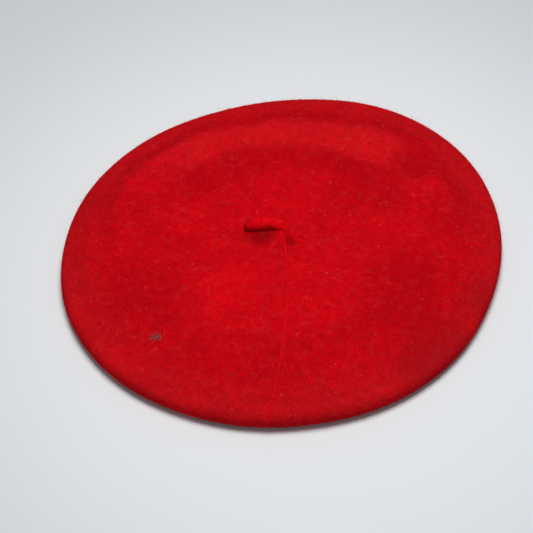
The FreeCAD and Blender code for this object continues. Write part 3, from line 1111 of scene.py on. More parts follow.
    def under_rows(self, depth: float, angles: Array, count: int) -> Rows:
        """Rings over the flat underside, from the rim's round to the opening.

        Args:
            depth: How far the rings lie over the outer face.
            angles: The angles of each ring's points.
            count: How many rings there are.

        Returns:
            Each ring's distances from Z and heights.
        """
        start = self.outline(angles) - self.edge(angles)
        shares = np.arange(1, count + 1) / count
        return [(start * (1 - share) + self.opening * share, np.full_like(start, depth)) for share in shares]

    def skin(self, depth: float, angles: Array, rings: tuple[int, int, int], fine: bool = True) -> Array:
        """Rings of points over the whole form, from the middle over the rim to the opening.

        Args:
            depth: How far the skin lies under the outer face.
            angles: The angles of each ring's points.
            rings: How many rings lie on the top, round the rim and on the underside.
            fine: Whether the felt's small lumps are in it.

        Returns:
            An array of rings, angles and places.
        """
        rows = self.top_rows(depth, angles, rings[0], fine) + self.rim_rows(depth, angles, rings[1])
        return placed(rows + self.under_rows(depth, angles, rings[2]), angles)


def placed(rows: Rows, angles: Array) -> Array:
    """Points of rings given by their distances from Z and heights."""
    return np.stack([np.stack([ring * np.cos(angles), ring * np.sin(angles), height], -1)
                     for ring, height in rows])


# ---------------------------------------------------------------- the crown


@dataclass
class Crown:
    """The fulled crown: its felt and its join's yarn."""

    form: CrownForm
    sides: int = 512
    outer_rings: tuple[int, int, int] = (112, 14, 8)
    inner_rings: tuple[int, int, int] = (16, 6, 8)
    yarn_radius: float = 0.75 * MM
    yarn_sunk: float = 0.48 * MM
    join_turn: float = -math.pi / 2 - 0.062

    def __post_init__(self) -> None:
        """Spaces the angles of the mesh closer together by the join."""
        turn = np.linspace(-math.pi, math.pi, 4001)
        weight = 1 + 3 * np.exp(-(((turn + math.radians(92)) / math.radians(6)) ** 2))
        reach = np.concatenate([[0], np.cumsum((weight[1:] + weight[:-1]) / 2)])
        self.angles = np.interp(np.arange(self.sides) / self.sides * reach[-1], reach, turn)

    def build(self) -> None:
        """Makes the crown's pieces."""
        wool = FulledWool().material()
        self.outer = self.form.skin(0.0, self.angles, self.outer_rings)
        self.felt_shape().piece("crown_fulled_felt", wool, "red_wool_felt", nodes=("crown_felt",))
        yarn = SpunYarn("red_join_yarn", (0.46, 0.0008, 0.0045), (0.68, 0.0012, 0.006)).material()
        self.yarn_shape().piece("crown_join_line", yarn, "red_wool_yarn", nodes=("crown_join_yarn",))

    def felt_shape(self) -> Shape:
        """The felt as a closed skin with an open middle underneath.

        Returns:
            The shape.
        """
        inner = self.form.skin(self.form.felt, self.angles, self.inner_rings, fine=False)
        brink = (self.outer[-1] + inner[-1]) / 2
        brink[:, :2] -= unit(brink[:, :2]) * 0.25 * MM
        rings = np.concatenate([self.outer, brink[None], inner[::-1]])
        top = np.array([0, 0, self.form.over(0.0, 0.0)])
        return closed_rings(rings, top, top - np.array([0, 0, self.form.felt]))

    def yarn_shape(self) -> Shape:
        """The join's yarn, half sunk in the felt, from the stalk's root over the rim to the opening.

        Returns:
            The shape.
        """
        form, steps = self.form, np.arange(190)
        angle = np.array([self.join_turn])
        end, _, slope = form.top_end(angle)
        half, rim = form.edge(angle)[0], form.outline(angle)[0]
        y = -np.linspace(4.6 * MM, end[0] * 0.992, len(steps))
        x = form.seam_offset(y)
        sway = np.sin(steps * 1.31) * 0.10 * MM + np.sin(steps * 0.37) * 0.14 * MM
        deeper = Ripples(83, 9 * MM).at(y, y * 0.4) * 0.16 * MM
        top = np.stack([x + sway, y, form.over(x, y) - self.yarn_sunk - deeper], -1)
        turn = np.linspace(math.pi / 2 - slope[0], -math.pi / 2, 22)[1:]
        ring = rim - half + (half - self.yarn_sunk) * np.cos(turn)
        height = half + (half - self.yarn_radius) * np.sin(turn)
        under = np.linspace(rim - half, form.opening + 1 * MM, 30)[1:]
        ring = np.concatenate([ring, under])
        height = np.concatenate([height, np.full(len(under), self.yarn_radius)])
        rest = np.stack([ring * math.cos(self.join_turn), ring * math.sin(self.join_turn), height], -1)
        path = np.concatenate([top, rest])
        radii = self.yarn_radius * (1 + 0.14 * np.sin(np.arange(len(path)) * 0.9))
        return tube(path, radii * 1.6, 10, squeeze=0.62)


# ---------------------------------------------------------------- the stalk


@dataclass
class Stalk:
    """The little felted stalk in the middle of the crown, which leans over to one side.

    Its line is a row of places and radii, in millimetres, from the root to the tip.
    """

    form: CrownForm
    line: tuple[Spot, ...] = (
        (0.4, 4.6, 16.4, 3.4), (0.2, 5.6, 18.8, 3.5), (-1.2, 6.9, 20.9, 3.7), (-4.6, 7.9, 22.1, 3.9),
        (-8.6, 8.3, 22.6, 4.2), (-12.6, 8.3, 22.6, 4.4), (-16.4, 8.0, 22.3, 4.4), (-19.6, 7.5, 21.9, 4.2),
        (-22.4, 7.0, 21.5, 3.6), (-24.4, 6.7, 21.2, 2.5), (-25.5, 6.6, 21.0, 0.6))
    sides: int = 36
    steps: int = 90
    nap_count: int = 1500
    nap_thick: float = 0.034 * MM
    stitch_headings: tuple[int, ...] = (-150, -105, -55, -10, 35, 80)
    stitch_radius: float = 0.24 * MM

    def path(self) -> tuple[Array, Array]:
        """The stalk's middle line, as a smooth curve through its places.

        Returns:
            Points along it, and the stalk's radius at each.
        """
        stops = np.array(self.line) * MM
        place = np.linspace(0, len(stops) - 1, self.steps)
        smooth = np.stack([spline(stops[:, axis], place) for axis in range(4)], -1)
        return smooth[:, :3], smooth[:, 3]

    def build(self) -> None:
        """Makes the stalk, its nap and the stitches at its root."""
        # A brighter copy of the crown's wool paints a highlight on the stalk, with painted shade low on its side.
        wool = FulledWool("red_fulled_stalk", deep=(0.56, 0.0010, 0.0050), bright=(0.84, 0.0020, 0.0080), ridge_highlight=0.0,
                          hollow_shade=0.0, underside=0.26, worn=(), shade_spots=()).material()
        path, radii = self.path()
        shape = tube(path, radii, self.sides, squeeze=0.92)
        lumps, grain = Ripples(61, 7 * MM), Ripples(67, 2.6 * MM, 40)
        middle = np.concatenate([np.repeat(path, self.sides, axis=0), path[:1], path[-1:]])
        outwards = unit(shape.points - middle)
        around = shape.points[:, 1] * 1.3 + shape.points[:, 2]
        swell = lumps.at(shape.points[:, 0], around) * 0.22 * MM + grain.at(shape.points[:, 0], around) * 0.09 * MM
        shape.points += outwards * swell[:, None]
        piece = shape.piece("stalk_felted", wool, "red_wool_felt", body="", nodes=("stalk",))
        fibre = WoolFibre("stalk_nap_wool", (0.46, 0.001, 0.005), (0.76, 0.010, 0.018)).material()
        nap = self.nap(path, radii).piece("stalk_nap", fibre, "red_wool_felt", body="")
        for bending in (piece, nap):
            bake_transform(bending)
        thread = SpunYarn("red_stalk_stitch", (0.42, 0.001, 0.004), (0.70, 0.002, 0.008)).material()
        self.stitches().piece("stalk_root_stitches", thread, "sewing_thread", nodes=("stalk_stitches",))

    def nap(self, path: Array, radii: Array) -> Shape:
        """Short fibres that stand off the stalk.

        Args:
            path: The stalk's middle line.
            radii: Its radius at each point.

        Returns:
            The fibres.
        """
        draw = np.random.default_rng(71)
        count = self.nap_count
        place = draw.integers(4, len(path) - 2, count)
        heading = unit(np.gradient(path, axis=0))[place]
        side = unit(np.cross(heading, draw.normal(size=(count, 3))))
        start = path[place] + side * radii[place][:, None] * 0.9
        drift = unit(np.cross(side, draw.normal(size=(count, 3))))
        along = np.linspace(0, 1, 4)[None, :, None]
        reach = draw.uniform(0.8 * MM, 2.2 * MM, (count, 1, 1))
        lines = (side[:, None] * 0.55 * along + drift[:, None] * (0.8 * along - 0.3 * along**2)) * reach
        return strands(start[:, None] + lines, self.nap_thick * draw.uniform(0.8, 1.25, count))

    def stitches(self) -> Shape:
        """Short stitches that catch the felt to the stalk's root.

        Returns:
            The shape.
        """
        root_x, root_y = self.form.root
        share = np.linspace(0, 1, 9)
        parts = []
        for heading in self.stitch_headings:
            turn = math.radians(heading) + 0.12 * (share - 0.5)
            ring = (6.0 - 2.2 * share) * MM
            x, y = root_x + ring * np.cos(turn), root_y + ring * np.sin(turn)
            z = self.form.over(x, y) + np.sin(share * math.pi) * 0.22 * MM - 0.12 * MM
            parts.append(tube(np.stack([x, y, z], -1), np.full(len(share), self.stitch_radius), 6))
        return sum(parts[1:], parts[0])


# ---------------------------------------------------------------- nap and loose fibres


class Scatter:
    """Even places over a skin of rings, with the way out of the skin at each."""

    def __init__(self, rings: Array, seed: int) -> None:
        """Measures the skin's faces.

        Args:
            rings: An array of rings, sides and places.
            seed: The start of its random draws.
        """
        self.draw = np.random.default_rng(seed)
        following = np.roll(rings, -1, axis=1)
        self.corners = (rings[:-1], following[:-1], following[1:], rings[1:])
        first, second, third, _ = self.corners
        self.out = np.cross(rings[1:] - first, second - first)
        self.size = np.linalg.norm(self.out, axis=-1)
        self.middle = (first + third) / 2

    def pick(self, count: int, favour: Array | None = None) -> tuple[Array, Array]:
        """Draws places.

        Args:
            count: How many places.
            favour: How much each face is favoured, or None for evenly.

        Returns:
            The places and the ways out.
        """
        weight = self.size if favour is None else self.size * favour
        reach = np.cumsum(weight.reshape(-1))
        face = np.searchsorted(reach, self.draw.uniform(0, reach[-1], count))
        across, along = self.draw.uniform(0, 1, (2, count, 1))
        first, second, third, fourth = (corner.reshape(-1, 3)[face] for corner in self.corners)
        near = first * (1 - across) + second * across
        far = fourth * (1 - across) + third * across
        return near * (1 - along) + far * along, unit(self.out.reshape(-1, 3)[face])


@dataclass
class Nap:
    """The raised fibres of the felt, in a few shades, and the longer ones that have worked loose."""

    crown: Crown
    count: int = 16000
    short: tuple[float, float] = (0.7 * MM, 2.3 * MM)
    thick: float = 0.034 * MM
    loose_count: int = 1500
    loose: tuple[float, float] = (2.2 * MM, 7.0 * MM)
    loose_thick: float = 0.030 * MM
    lift: float = 0.30
    seed: int = 101
    loose_seed: int = 211
    underside_height: float = 1.5 * MM
    underside_share: float = 0.06

    def build(self) -> None:
        """Makes the nap's pieces."""
        shades = {
            "crown_nap_deep": ((0.36, 0.001, 0.004), (0.58, 0.002, 0.007)),
            "crown_nap_bright": ((0.50, 0.002, 0.006), (0.82, 0.008, 0.018)),
            "crown_nap_soft": ((0.42, 0.002, 0.006), (0.74, 0.030, 0.040)),
        }
        for number, (name, (root, tip)) in enumerate(shades.items()):
            scatter = Scatter(self.crown.outer, self.seed + number)
            places, out = scatter.pick(self.count, self.favour(scatter))
            fibre = WoolFibre(f"{name}_wool", root, tip).material()
            self.lying(scatter.draw, places, out).piece(name, fibre, "red_wool_felt")
        self.loose_fibres()

    def favour(self, scatter: Scatter) -> Array:
        """How much nap each face has: least on the underside, and most round the rim.

        Args:
            scatter: The skin's faces.

        Returns:
            A share for each face.
        """
        height = scatter.middle[..., 2]
        ring = np.hypot(scatter.middle[..., 0], scatter.middle[..., 1])
        rim = ease(ring, 112 * MM, 128 * MM) * 0.9 + 1.0
        return np.where(height < self.underside_height, self.underside_share, rim)

    def lying(self, draw: np.random.Generator, places: Array, out: Array) -> Shape:
        """Fibres that start in the felt and lie over it, bent.

        Args:
            draw: The random draws.
            places: Where they start.
            out: The way out of the felt there.

        Returns:
            The fibres.
        """
        count = len(places)
        side = unit(np.cross(out, draw.normal(size=(count, 3))))
        bend = unit(np.cross(out, side)) * draw.normal(0, 0.42, (count, 1)) + out * draw.normal(-0.10, 0.14, (count, 1))
        reach = draw.uniform(*self.short, (count, 1)) * draw.uniform(0.6, 1.0, (count, 1))
        rise = np.abs(draw.normal(self.lift, 0.26, (count, 1)))
        along = np.array([0.0, 0.34, 0.70, 1.0])
        steps = (side + out * rise)[:, None] * along[None, :, None] + bend[:, None] * (along**2)[None, :, None]
        start = places - out * 0.10 * MM
        return strands(start[:, None] + steps * reach[:, None], self.thick * draw.uniform(0.8, 1.25, count))

    def loose_fibres(self) -> None:
        """Longer, curlier fibres, most of them round the rim."""
        scatter = Scatter(self.crown.outer, self.loose_seed)
        turn = np.arctan2(scatter.middle[..., 1], scatter.middle[..., 0])
        ring = np.hypot(scatter.middle[..., 0], scatter.middle[..., 1])
        sunny = 0.5 + 0.9 * ease(np.cos(turn - math.radians(35)), -0.2, 0.9)
        favour = (0.30 + 2.2 * ease(ring, 100 * MM, 130 * MM)) * sunny
        favour = np.where(scatter.middle[..., 2] < self.underside_height, 0.0, favour)
        places, out = scatter.pick(self.loose_count, favour)
        draw = scatter.draw
        shape = self.curled(draw, places, out, draw.uniform(*self.loose, self.loose_count), self.loose_thick)
        fibre = WoolFibre("loose_red_wool", (0.50, 0.003, 0.008), (0.80, 0.045, 0.055)).material()
        shape.piece("crown_loose_fibres", fibre, "red_wool_felt")

    @staticmethod
    def curled(draw: np.random.Generator, places: Array, out: Array, reach: Array, thick: float) -> Shape:
        """Fibres that stand off the felt and curl.

        Args:
            draw: The random draws.
            places: Where they start.
            out: The way out of the felt there.
            reach: Each fibre's length.
            thick: A fibre's usual radius.

        Returns:
            The fibres.
        """
        count, steps = len(places), 9
        along = np.linspace(0, 1, steps)[None, :, None]
        side = unit(np.cross(out, draw.normal(size=(count, 3))))
        other = np.cross(out, side)
        rise = draw.uniform(0.12, 0.75, (count, 1))
        heading = unit(side + out * rise)[:, None]
        curl = draw.uniform(0.06, 0.20, (count, 1, 1))
        waves = draw.uniform(0.5, 1.5, (count, 1, 1)) * TURN
        phase = draw.uniform(0, TURN, (count, 1, 1))
        sway = other[:, None] * (np.sin(waves * along + phase) - np.sin(phase)) * curl
        droop = out[:, None] * (along**2) * -draw.uniform(0.0, 0.35, (count, 1, 1))
        lines = (heading * along + sway + droop) * reach[:, None, None]
        return strands((places - out * 0.10 * MM)[:, None] + lines, thick * draw.uniform(0.8, 1.3, count))


@dataclass
class Clinging:
    """What clings to the felt: a curl of pale fibre here and there, and a tuft of grey-brown lint.

    Each pale fibre has its place to X and to Y and its span, in millimetres.
    """

    form: CrownForm
    pale_places: tuple[tuple[float, float, float], ...] = (
        (43, 79, 8.0), (38, 70, 4.0), (-12, -66, 9.0), (64, 28, 3.6), (17, 24, 2.6), (52, -30, 3.4), (-64, 18, 3.2),
        (-96, 20, 3.6), (-20, -96, 3.0), (96, -18, 4.2), (8, 96, 3.4))
    lint_place: tuple[float, float] = (-74.5, -79.5)
    lint_count: int = 46

    def build(self) -> None:
        """Makes both pieces."""
        draw = np.random.default_rng(307)
        middles = np.array([(x * MM, y * MM) for x, y, _ in self.pale_places])
        spans = np.array([span * MM for _, _, span in self.pale_places])
        curls = self.curls(draw, middles, spans, 0.04 * MM, 0.4 * MM)
        pale = WoolFibre("pale_stray_wool", (0.62, 0.07, 0.07), (0.76, 0.20, 0.18)).material()
        curls.piece("crown_pale_strays", pale, "red_wool_felt")
        strewn = draw.normal(0, 0.9 * MM, (self.lint_count, 2)) * np.array([1.5, 0.8])
        places = np.array(self.lint_place) * MM + strewn
        tuft = self.curls(draw, places, draw.uniform(1.6, 4.0, self.lint_count) * MM, 0.05 * MM, 0.5 * MM)
        grey = WoolFibre("grey_brown_lint", (0.20, 0.045, 0.040), (0.36, 0.20, 0.165)).material()
        tuft.piece("crown_lint", grey, "red_wool_felt")

    def curls(self, draw: np.random.Generator, middles: Array, spans: Array, thick: float, lift: float) -> Shape:
        """Fibres that lie curled on the felt.

        Args:
            draw: The random draws.
            middles: Where they lie.
            spans: How far each reaches.
            thick: A fibre's radius.
            lift: How high they bow up.

        Returns:
            The fibres.
        """
        count, steps = len(middles), 16
        along = np.linspace(-0.5, 0.5, steps)[None]
        heading = draw.uniform(0, TURN, (count, 1))
        bow = draw.uniform(0.25, 0.7, (count, 1)) * (along**2 * 4 - 0.5)
        bow = bow + 0.08 * np.sin(along * draw.uniform(6, 16, (count, 1)))
        x = middles[:, :1] + spans[:, None] * (np.cos(heading) * along - np.sin(heading) * bow)
        y = middles[:, 1:] + spans[:, None] * (np.sin(heading) * along + np.cos(heading) * bow)
        z = self.form.over(x, y) + thick + lift * np.cos(along * math.pi) * draw.uniform(0.2, 1.0, (count, 1))
        return strands(np.stack([x, y, z], -1), np.full(count, thick))


# ---------------------------------------------------------------- the lining


@dataclass
class Lining:
    """The satin lining: a slack round panel over the head and a ring that comes back from the rim.

    Its tack is the middle of the care label's stitches and their lowest height.
    """

    form: CrownForm
    tack: tuple[Vector, float]
    satin: bpy.types.Material
    sides: int = 288
    felt_side: float = 3.4 * MM
    cloth: float = 0.4 * MM
    flat_middle: float = 36 * MM
    cut_radius: float = 134 * MM
    cut_opening: float = 89 * MM
    slack: float = 0.9 * MM
    pleats: int = 46

    def __post_init__(self) -> None:
        """Sets out the angles and the satin's pleats."""
        self.angles = TURN * np.arange(self.sides) / self.sides
        self.folds = Ripples(71, 19 * MM)

    def panel(self, depth: float) -> Array:
        """One face of the top panel.

        Args:
            depth: How far it lies under the crown's outer face.

        Returns:
            Its rings.
        """
        level = self.form.middle_height - depth
        rows = []
        for ring, height in self.form.top_rows(depth, self.angles, 58, fine=False):
            x, y = ring * np.cos(self.angles), ring * np.sin(self.angles)
            out = ease(ring, self.flat_middle, self.flat_middle + 14 * MM)
            pleats = 0.5 + 0.5 * np.sin(self.pleats * self.angles + 1.2 * np.sin(3 * self.angles))
            gathered = pleats * self.slack * ease(ring, 96 * MM, 122 * MM)
            slack = (0.5 + 0.5 * np.clip(self.folds.at(x, y), -1, 1)) * self.slack + gathered
            over_band = np.exp(-(((ring - 90 * MM) / (7 * MM)) ** 2))
            slack = slack * (1 - ease(ring, 124 * MM, 131 * MM)) * (1 - 0.9 * over_band)
            height = np.minimum(height, self.form.crest_height) - slack
            rows.append((ring, level * (1 - out) + height * out))
        rings = placed(rows + self.form.rim_rows(depth, self.angles, 5, last_turn=0.0), self.angles)
        return self.tacked(rings, depth)

    def under_side(self, ring: float, angles: Array) -> Array:
        """The height of the panel's lower face over a ring, at angles round Z."""
        return self.form.top_height(np.full_like(angles, ring), angles, fine=False) - self.felt_side - self.cloth

    def tacked(self, rings: Array, depth: float) -> Array:
        """Brings the panel level with the stitches that tack the care label to it.

        Args:
            rings: The rings of one face of the panel.
            depth: How far that face lies under the crown's outer face.

        Returns:
            The same rings, moved round the tack.
        """
        place, height = self.tack
        heading = np.arctan2(place.y, place.x)
        out = np.array([math.cos(heading), math.sin(heading)])
        beside = rings[..., :2] - np.array([place.x, place.y])
        far = np.hypot((beside @ out) / (7 * MM), (beside @ np.array([-out[1], out[0]])) / (17 * MM))
        near = np.exp(-(far**4))
        target = height + (self.felt_side + self.cloth - depth)
        rings[..., 2] = rings[..., 2] * (1 - near) + target * near
        return rings

    def build(self) -> None:
        """Makes the two panels and the ridge where they meet."""
        upper, lower = self.panel(self.felt_side), self.panel(self.felt_side + self.cloth)
        middle = self.form.middle_height - self.felt_side
        rings = np.concatenate([upper, lower[::-1]])
        top = closed_rings(rings, np.array([0, 0, middle]), np.array([0, 0, middle - self.cloth]))
        piece = top.piece("lining_top_satin", self.satin, "lining_satin", nodes=("lining_top",))
        side = 2 * self.cut_radius
        math.pi * self.cut_radius**2
        self.side_panel()
        self.ridge()

    def side_panel(self) -> None:
        """The ring of satin from the rim to the sweatband's seam."""
        faces = []
        for depth in (self.felt_side, self.felt_side + self.cloth):
            rows = self.form.rim_rows(depth, self.angles, 8, first_turn=0.0)
            for ring, height in self.form.under_rows(depth, self.angles, 16):
                x, y = ring * np.cos(self.angles), ring * np.sin(self.angles)
                loose = ease(ring, 89 * MM, 96 * MM) * (1 - ease(ring, 112 * MM, 122 * MM))
                height = height + (0.5 + 0.5 * self.folds.at(y, x)) * self.slack * loose
                rows.append((ring - 0.1 * MM, height))
            faces.append(placed(rows, self.angles))
        outer, inner = faces
        rings = np.concatenate([outer, inner[::-1], outer[:1]])
        count, sides, _ = rings.shape
        quads = ring_faces(count, sides) % ((count - 1) * sides)
        shape = Shape(rings[:-1].reshape(-1, 3), [quads])
        piece = shape.piece("lining_side_satin", self.satin, "lining_satin", nodes=("lining_side",))
        width = 2 * (self.cut_radius - 2 * MM)
        area = math.pi * ((width / 2) ** 2 - self.cut_opening**2)

    def ridge(self) -> None:
        """The ridge of thread and turned edges where the panels meet inside the rim."""
        count, sides = 360, 8
        angle = np.linspace(0, TURN, count + 1)[:-1]
        ring = self.form.outline(angle) - self.felt_side - self.cloth - 0.35 * MM
        height = self.form.edge(angle) + np.sin(angle * 90) * 0.06 * MM
        line = placed([(ring, height)], angle)[0]
        heading = unit(np.roll(line, -1, axis=0) - np.roll(line, 1, axis=0))
        across = unit(np.cross(heading, [0, 0, 1.0]))
        turn = (TURN * np.arange(sides) / sides)[None, :, None]
        rings = line[:, None] + 0.38 * MM * (across[:, None] * np.cos(turn) + np.array([0, 0, 1.0]) * np.sin(turn))
        shape = Shape(rings.reshape(-1, 3), [ring_faces(count + 1, sides) % (count * sides)])
        thread = SpunYarn("lining_thread", (0.03, 0.02, 0.02), (0.09, 0.06, 0.06)).material()
        shape.piece("lining_seam_ridge", thread, "sewing_thread", nodes=("lining_seam",))


# ---------------------------------------------------------------- the sweatband


@dataclass
class Sweatband:
    """The leather band round the opening, with its ribbon bow and its blank size tab.

    The rows of its mesh below and above the slits are given by their heights in millimetres.
    """

    form: CrownForm
    lining: Lining
    head: float = 86.8 * MM
    leather: float = 1.2 * MM
    lean: float = 2.1 * MM
    hem_top: float = 5.3 * MM
    gap: float = 1.6 * MM
    slit_middle: float = 4.5 * MM
    slit_half: float = 0.5 * MM
    slit_steps: int = 4
    low_rows: tuple[float, ...] = (0.3, 0.8, 1.3, 1.7, 2.1, 2.7, 3.8, 5.3, 7.0, 8.7)
    high_rows: tuple[float, ...] = (18.5, 20.0, 21.2, 22.0)
    bow_depth: float = 2.1 * MM
    ribbon: float = 0.38 * MM
    strap_thick: float = 0.36 * MM
    tab_size: tuple[float, float] = (14 * MM, 9 * MM)
    tab_heading: float = -110.0

    def __post_init__(self) -> None:
        """Takes the band's heights from its box, with the bow and its slits half way up the leather."""
        low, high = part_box("sweatband")
        self.foot, self.brink = low.z, high.z
        self.bow_height = (self.foot + self.hem_top + self.brink) / 2
        self.slit_low, self.slit_high = self.bow_height - 3.3 * MM, self.bow_height + 3.3 * MM

    def face(self, height: Array) -> Array:
        """The radius of the band's inner face at a height."""
        return self.head + self.lean * np.clip((height - self.hem_top) / (self.brink - self.hem_top), 0, None)

    def build(self) -> None:
        """Makes the band, its bow and its tab."""
        self.band().piece("sweatband_leather", Leather().material(), "sweatband_leather", nodes=("sweatband",))
        grosgrain = WovenCloth("black_grosgrain", (0.006, 0.006, 0.007), (0.022, 0.021, 0.023), Weave.GROSGRAIN, 0.6)
        self.bow().piece("sweatband_ribbon_bow", grosgrain.material(), "grosgrain_ribbon", nodes=("sweatband_bow",))
        tape = WovenCloth("label_tape", (0.55, 0.53, 0.48), (0.72, 0.70, 0.65), Weave.TAPE, 0.6)
        self.tab().piece("sweatband_size_tab", tape.material(), "label_tape", nodes=("size_tab",))

    def band(self) -> Shape:
        """The leather, open at the back and slit for the ribbon.

        Returns:
            The shape.
        """
        start = -math.pi / 2 + self.gap / 2 / (self.head + self.leather)
        edges = [(self.slit_middle + side * self.slit_half) / self.head for side in (-1, 1)]
        slits = [-math.pi / 2 + edge for edge in edges] + [1.5 * math.pi - edge for edge in edges]
        angles = np.unique(np.concatenate([np.linspace(start, math.pi - start, 361), slits]))
        beside_slits = np.linspace(self.slit_low, self.slit_high, self.slit_steps + 1)
        heights = np.concatenate([np.array(self.low_rows) * MM, beside_slits, np.array(self.high_rows) * MM])
        limit = np.minimum(self.brink, self.lining.under_side(90 * MM, angles) - 0.3 * MM)
        share = np.clip((heights - self.slit_high) / (self.brink - self.slit_high), 0, 1)
        z = heights[:, None] + share[:, None] * (limit - self.brink)[None]
        creases = self.lining.folds.at(angles[None] * 160 * MM, z * 2.2) * 0.22 * MM
        pulled = np.exp(-(((z - 1.7 * MM) / (0.6 * MM)) ** 2)) * 0.14 * MM
        inner = self.face(heights)[:, None] + creases * ease(z, 5 * MM, 9 * MM) + pulled
        rows = [(inner[n], z[n]) for n in range(len(z))] + [(inner[-1] + self.leather / 2, z[-1] + 0.2 * MM)]
        rows += [(inner[n] + self.leather, z[n]) for n in range(len(z) - 1, -1, -1)]
        rows += [(inner[0] + self.leather / 2, z[0] - 0.1 * MM)]
        return self.slit(placed(rows, angles), angles, len(z), slits)

    def slit(self, rings: Array, angles: Array, faces: int, slits: list[float]) -> Shape:
        """Closes the band's skin, with its ends capped and its slits cut.

        Args:
            rings: The section's points, inner face first, at each angle.
            angles: The angles.
            faces: How many rows each face has.
            slits: The angles of the slits' edges.

        Returns:
            The shape.
        """
        rows, columns, _ = rings.shape
        order = np.arange(rows * columns).reshape(rows, columns)
        quads = np.stack([order[:, :-1], np.roll(order, -1, 0)[:, :-1], np.roll(order, -1, 0)[:, 1:], order[:, 1:]], -1)
        keep = np.ones(quads.shape[:2], bool)
        walls = []
        low = len(self.low_rows)
        high = low + self.slit_steps

        def outer(row: int) -> int:
            """The row of the outer face behind a row of the inner one."""
            return 2 * faces - row

        places = np.searchsorted(angles, np.sort(slits) - 1e-9)
        for first, last in ((places[0], places[1]), (places[2], places[3])):
            keep[low:high, first:last] = False
            keep[outer(high):outer(low), first:last] = False
            for row in range(low, high):
                walls.append([order[row, first], order[outer(row), first],
                              order[outer(row + 1), first], order[row + 1, first]])
                walls.append([order[row, last], order[row + 1, last],
                              order[outer(row + 1), last], order[outer(row), last]])
            for column in range(first, last):
                walls.append([order[low, column], order[low, column + 1],
                              order[outer(low), column + 1], order[outer(low), column]])
                walls.append([order[high, column], order[outer(high), column],
                              order[outer(high), column + 1], order[high, column + 1]])
        for row in range(faces - 1):
            walls.append([order[row, 0], order[row + 1, 0], order[outer(row + 1), 0], order[outer(row), 0]])
            walls.append([order[row, -1], order[outer(row), -1], order[outer(row + 1), -1], order[row + 1, -1]])
        tips = []
        for column, turn in ((0, 1), (-1, -1)):
            tips.append([order[faces - 1, column], order[faces, column], order[faces + 1, column]][::turn])
            tips.append([order[0, column], order[2 * faces, column], order[2 * faces + 1, column]][::turn])
        return Shape(rings.reshape(-1, 3), [quads[keep].reshape(-1, 4), np.array(walls), np.array(tips)])

    def bow(self) -> Shape:
        """The ribbon: a knot, two soft loops, two free ends and the strap behind the leather.

        Returns:
            The shape.
        """
        y = self.bow_depth - self.face(np.array(self.slit_low))
        middle = np.array([0, float(y), self.bow_height])
        along = np.linspace(-1, 1, 13)
        line = middle + np.stack([along * 2.5 * MM, along * 0, along * 0], -1)
        shape = tube(line, 2.0 * MM * (1 - 0.22 * np.abs(along) ** 3), 24, squeeze=1.6)
        for side in (-1, 1):
            shape = shape + self.loop(middle, side) + self.free_end(middle, side)
        return shape + self.strap()

    def loop(self, middle: Array, side: int) -> Shape:
        """One soft loop of the bow, which goes out from the knot and back, and droops a little.

        Args:
            middle: The middle of the knot.
            side: The side it lies on, -1 or 1.

        Returns:
            The shape.
        """
        turn = np.linspace(0, 1, 34)
        reach = np.sin(turn * math.pi) ** 0.8
        line = np.stack([side * (1.6 + 11.0 * reach) * MM,
                         (np.cos(turn * math.pi) * (0.35 + 0.85 * np.sin(turn * math.pi)) + 0.9 * reach**2) * MM,
                         -0.9 * MM * reach**2 + side * 0.2 * MM * np.sin(turn * 7)], -1) + middle
        across = np.repeat(np.array([[0, 0, 1.0]]) * 2.9 * MM, len(turn), 0)
        across[:, 1] = 0.5 * MM * np.sin(turn * 5 + side)
        return strip(line, across, self.ribbon)

    def free_end(self, middle: Array, side: int) -> Shape:
        """One free end of the ribbon, which hangs below its loop.

        Args:
            middle: The middle of the knot.
            side: The side it lies on, -1 or 1.

        Returns:
            The shape.
        """
        turn = np.linspace(0, 1, 34)
        line = np.stack([side * (0.6 + 12.2 * turn) * MM, (1.75 + 0.5 * np.sin(turn * 5)) * MM,
                         -3.4 * MM * turn**1.2], -1) + middle
        across = np.stack([side * turn * 0.9, 0.15 + 0 * turn, 2.85 + 0 * turn], -1) * MM
        return strip(line, across, self.ribbon)

    def strap(self) -> Shape:
        """The ribbon's run from the knot through both slits and across the gap behind the leather.

        Returns:
            The shape.
        """
        inner, outer = -self.head / MM, -(self.head + self.leather) / MM
        half = [(0, outer - 1.75), (4.2, outer - 1.55), (4.5, outer), (4.1, inner - 0.1), (2.2, inner + 0.6)]
        corners = np.array([(-x, y) for x, y in half[:0:-1]] + half) * MM
        place = np.linspace(0, len(corners) - 1, 49)
        flat = np.stack([spline(corners[:, axis], place) for axis in range(2)], -1)
        line = np.concatenate([flat, np.full((len(place), 1), self.bow_height)], 1)
        return strip(line, np.repeat(np.array([[0, 0, 1.0]]) * 2.6 * MM, len(place), 0), self.strap_thick)

    def tab(self) -> Shape:
        """The blank woven tab, sewn at its two ends, so that its middle stands off a little.

        Returns:
            The shape.
        """
        width, height = self.tab_size
        aside, rise = np.linspace(-1, 1, 25), np.linspace(-1, 1, 15)
        angle = math.radians(self.tab_heading) + aside * width / 2 / self.head
        z = self.bow_height + rise * height / 2
        bulge = 0.28 * MM * (1 - aside**2)[None] * (1 - 0.5 * rise**2)[:, None]
        faces = []
        for depth in (0.32 * MM, 0.04 * MM):
            ring = self.face(z)[:, None] - depth - bulge
            faces.append(np.stack([ring * np.cos(angle), ring * np.sin(angle), np.repeat(z[:, None], 25, 1)], -1))
        return slab(*faces)


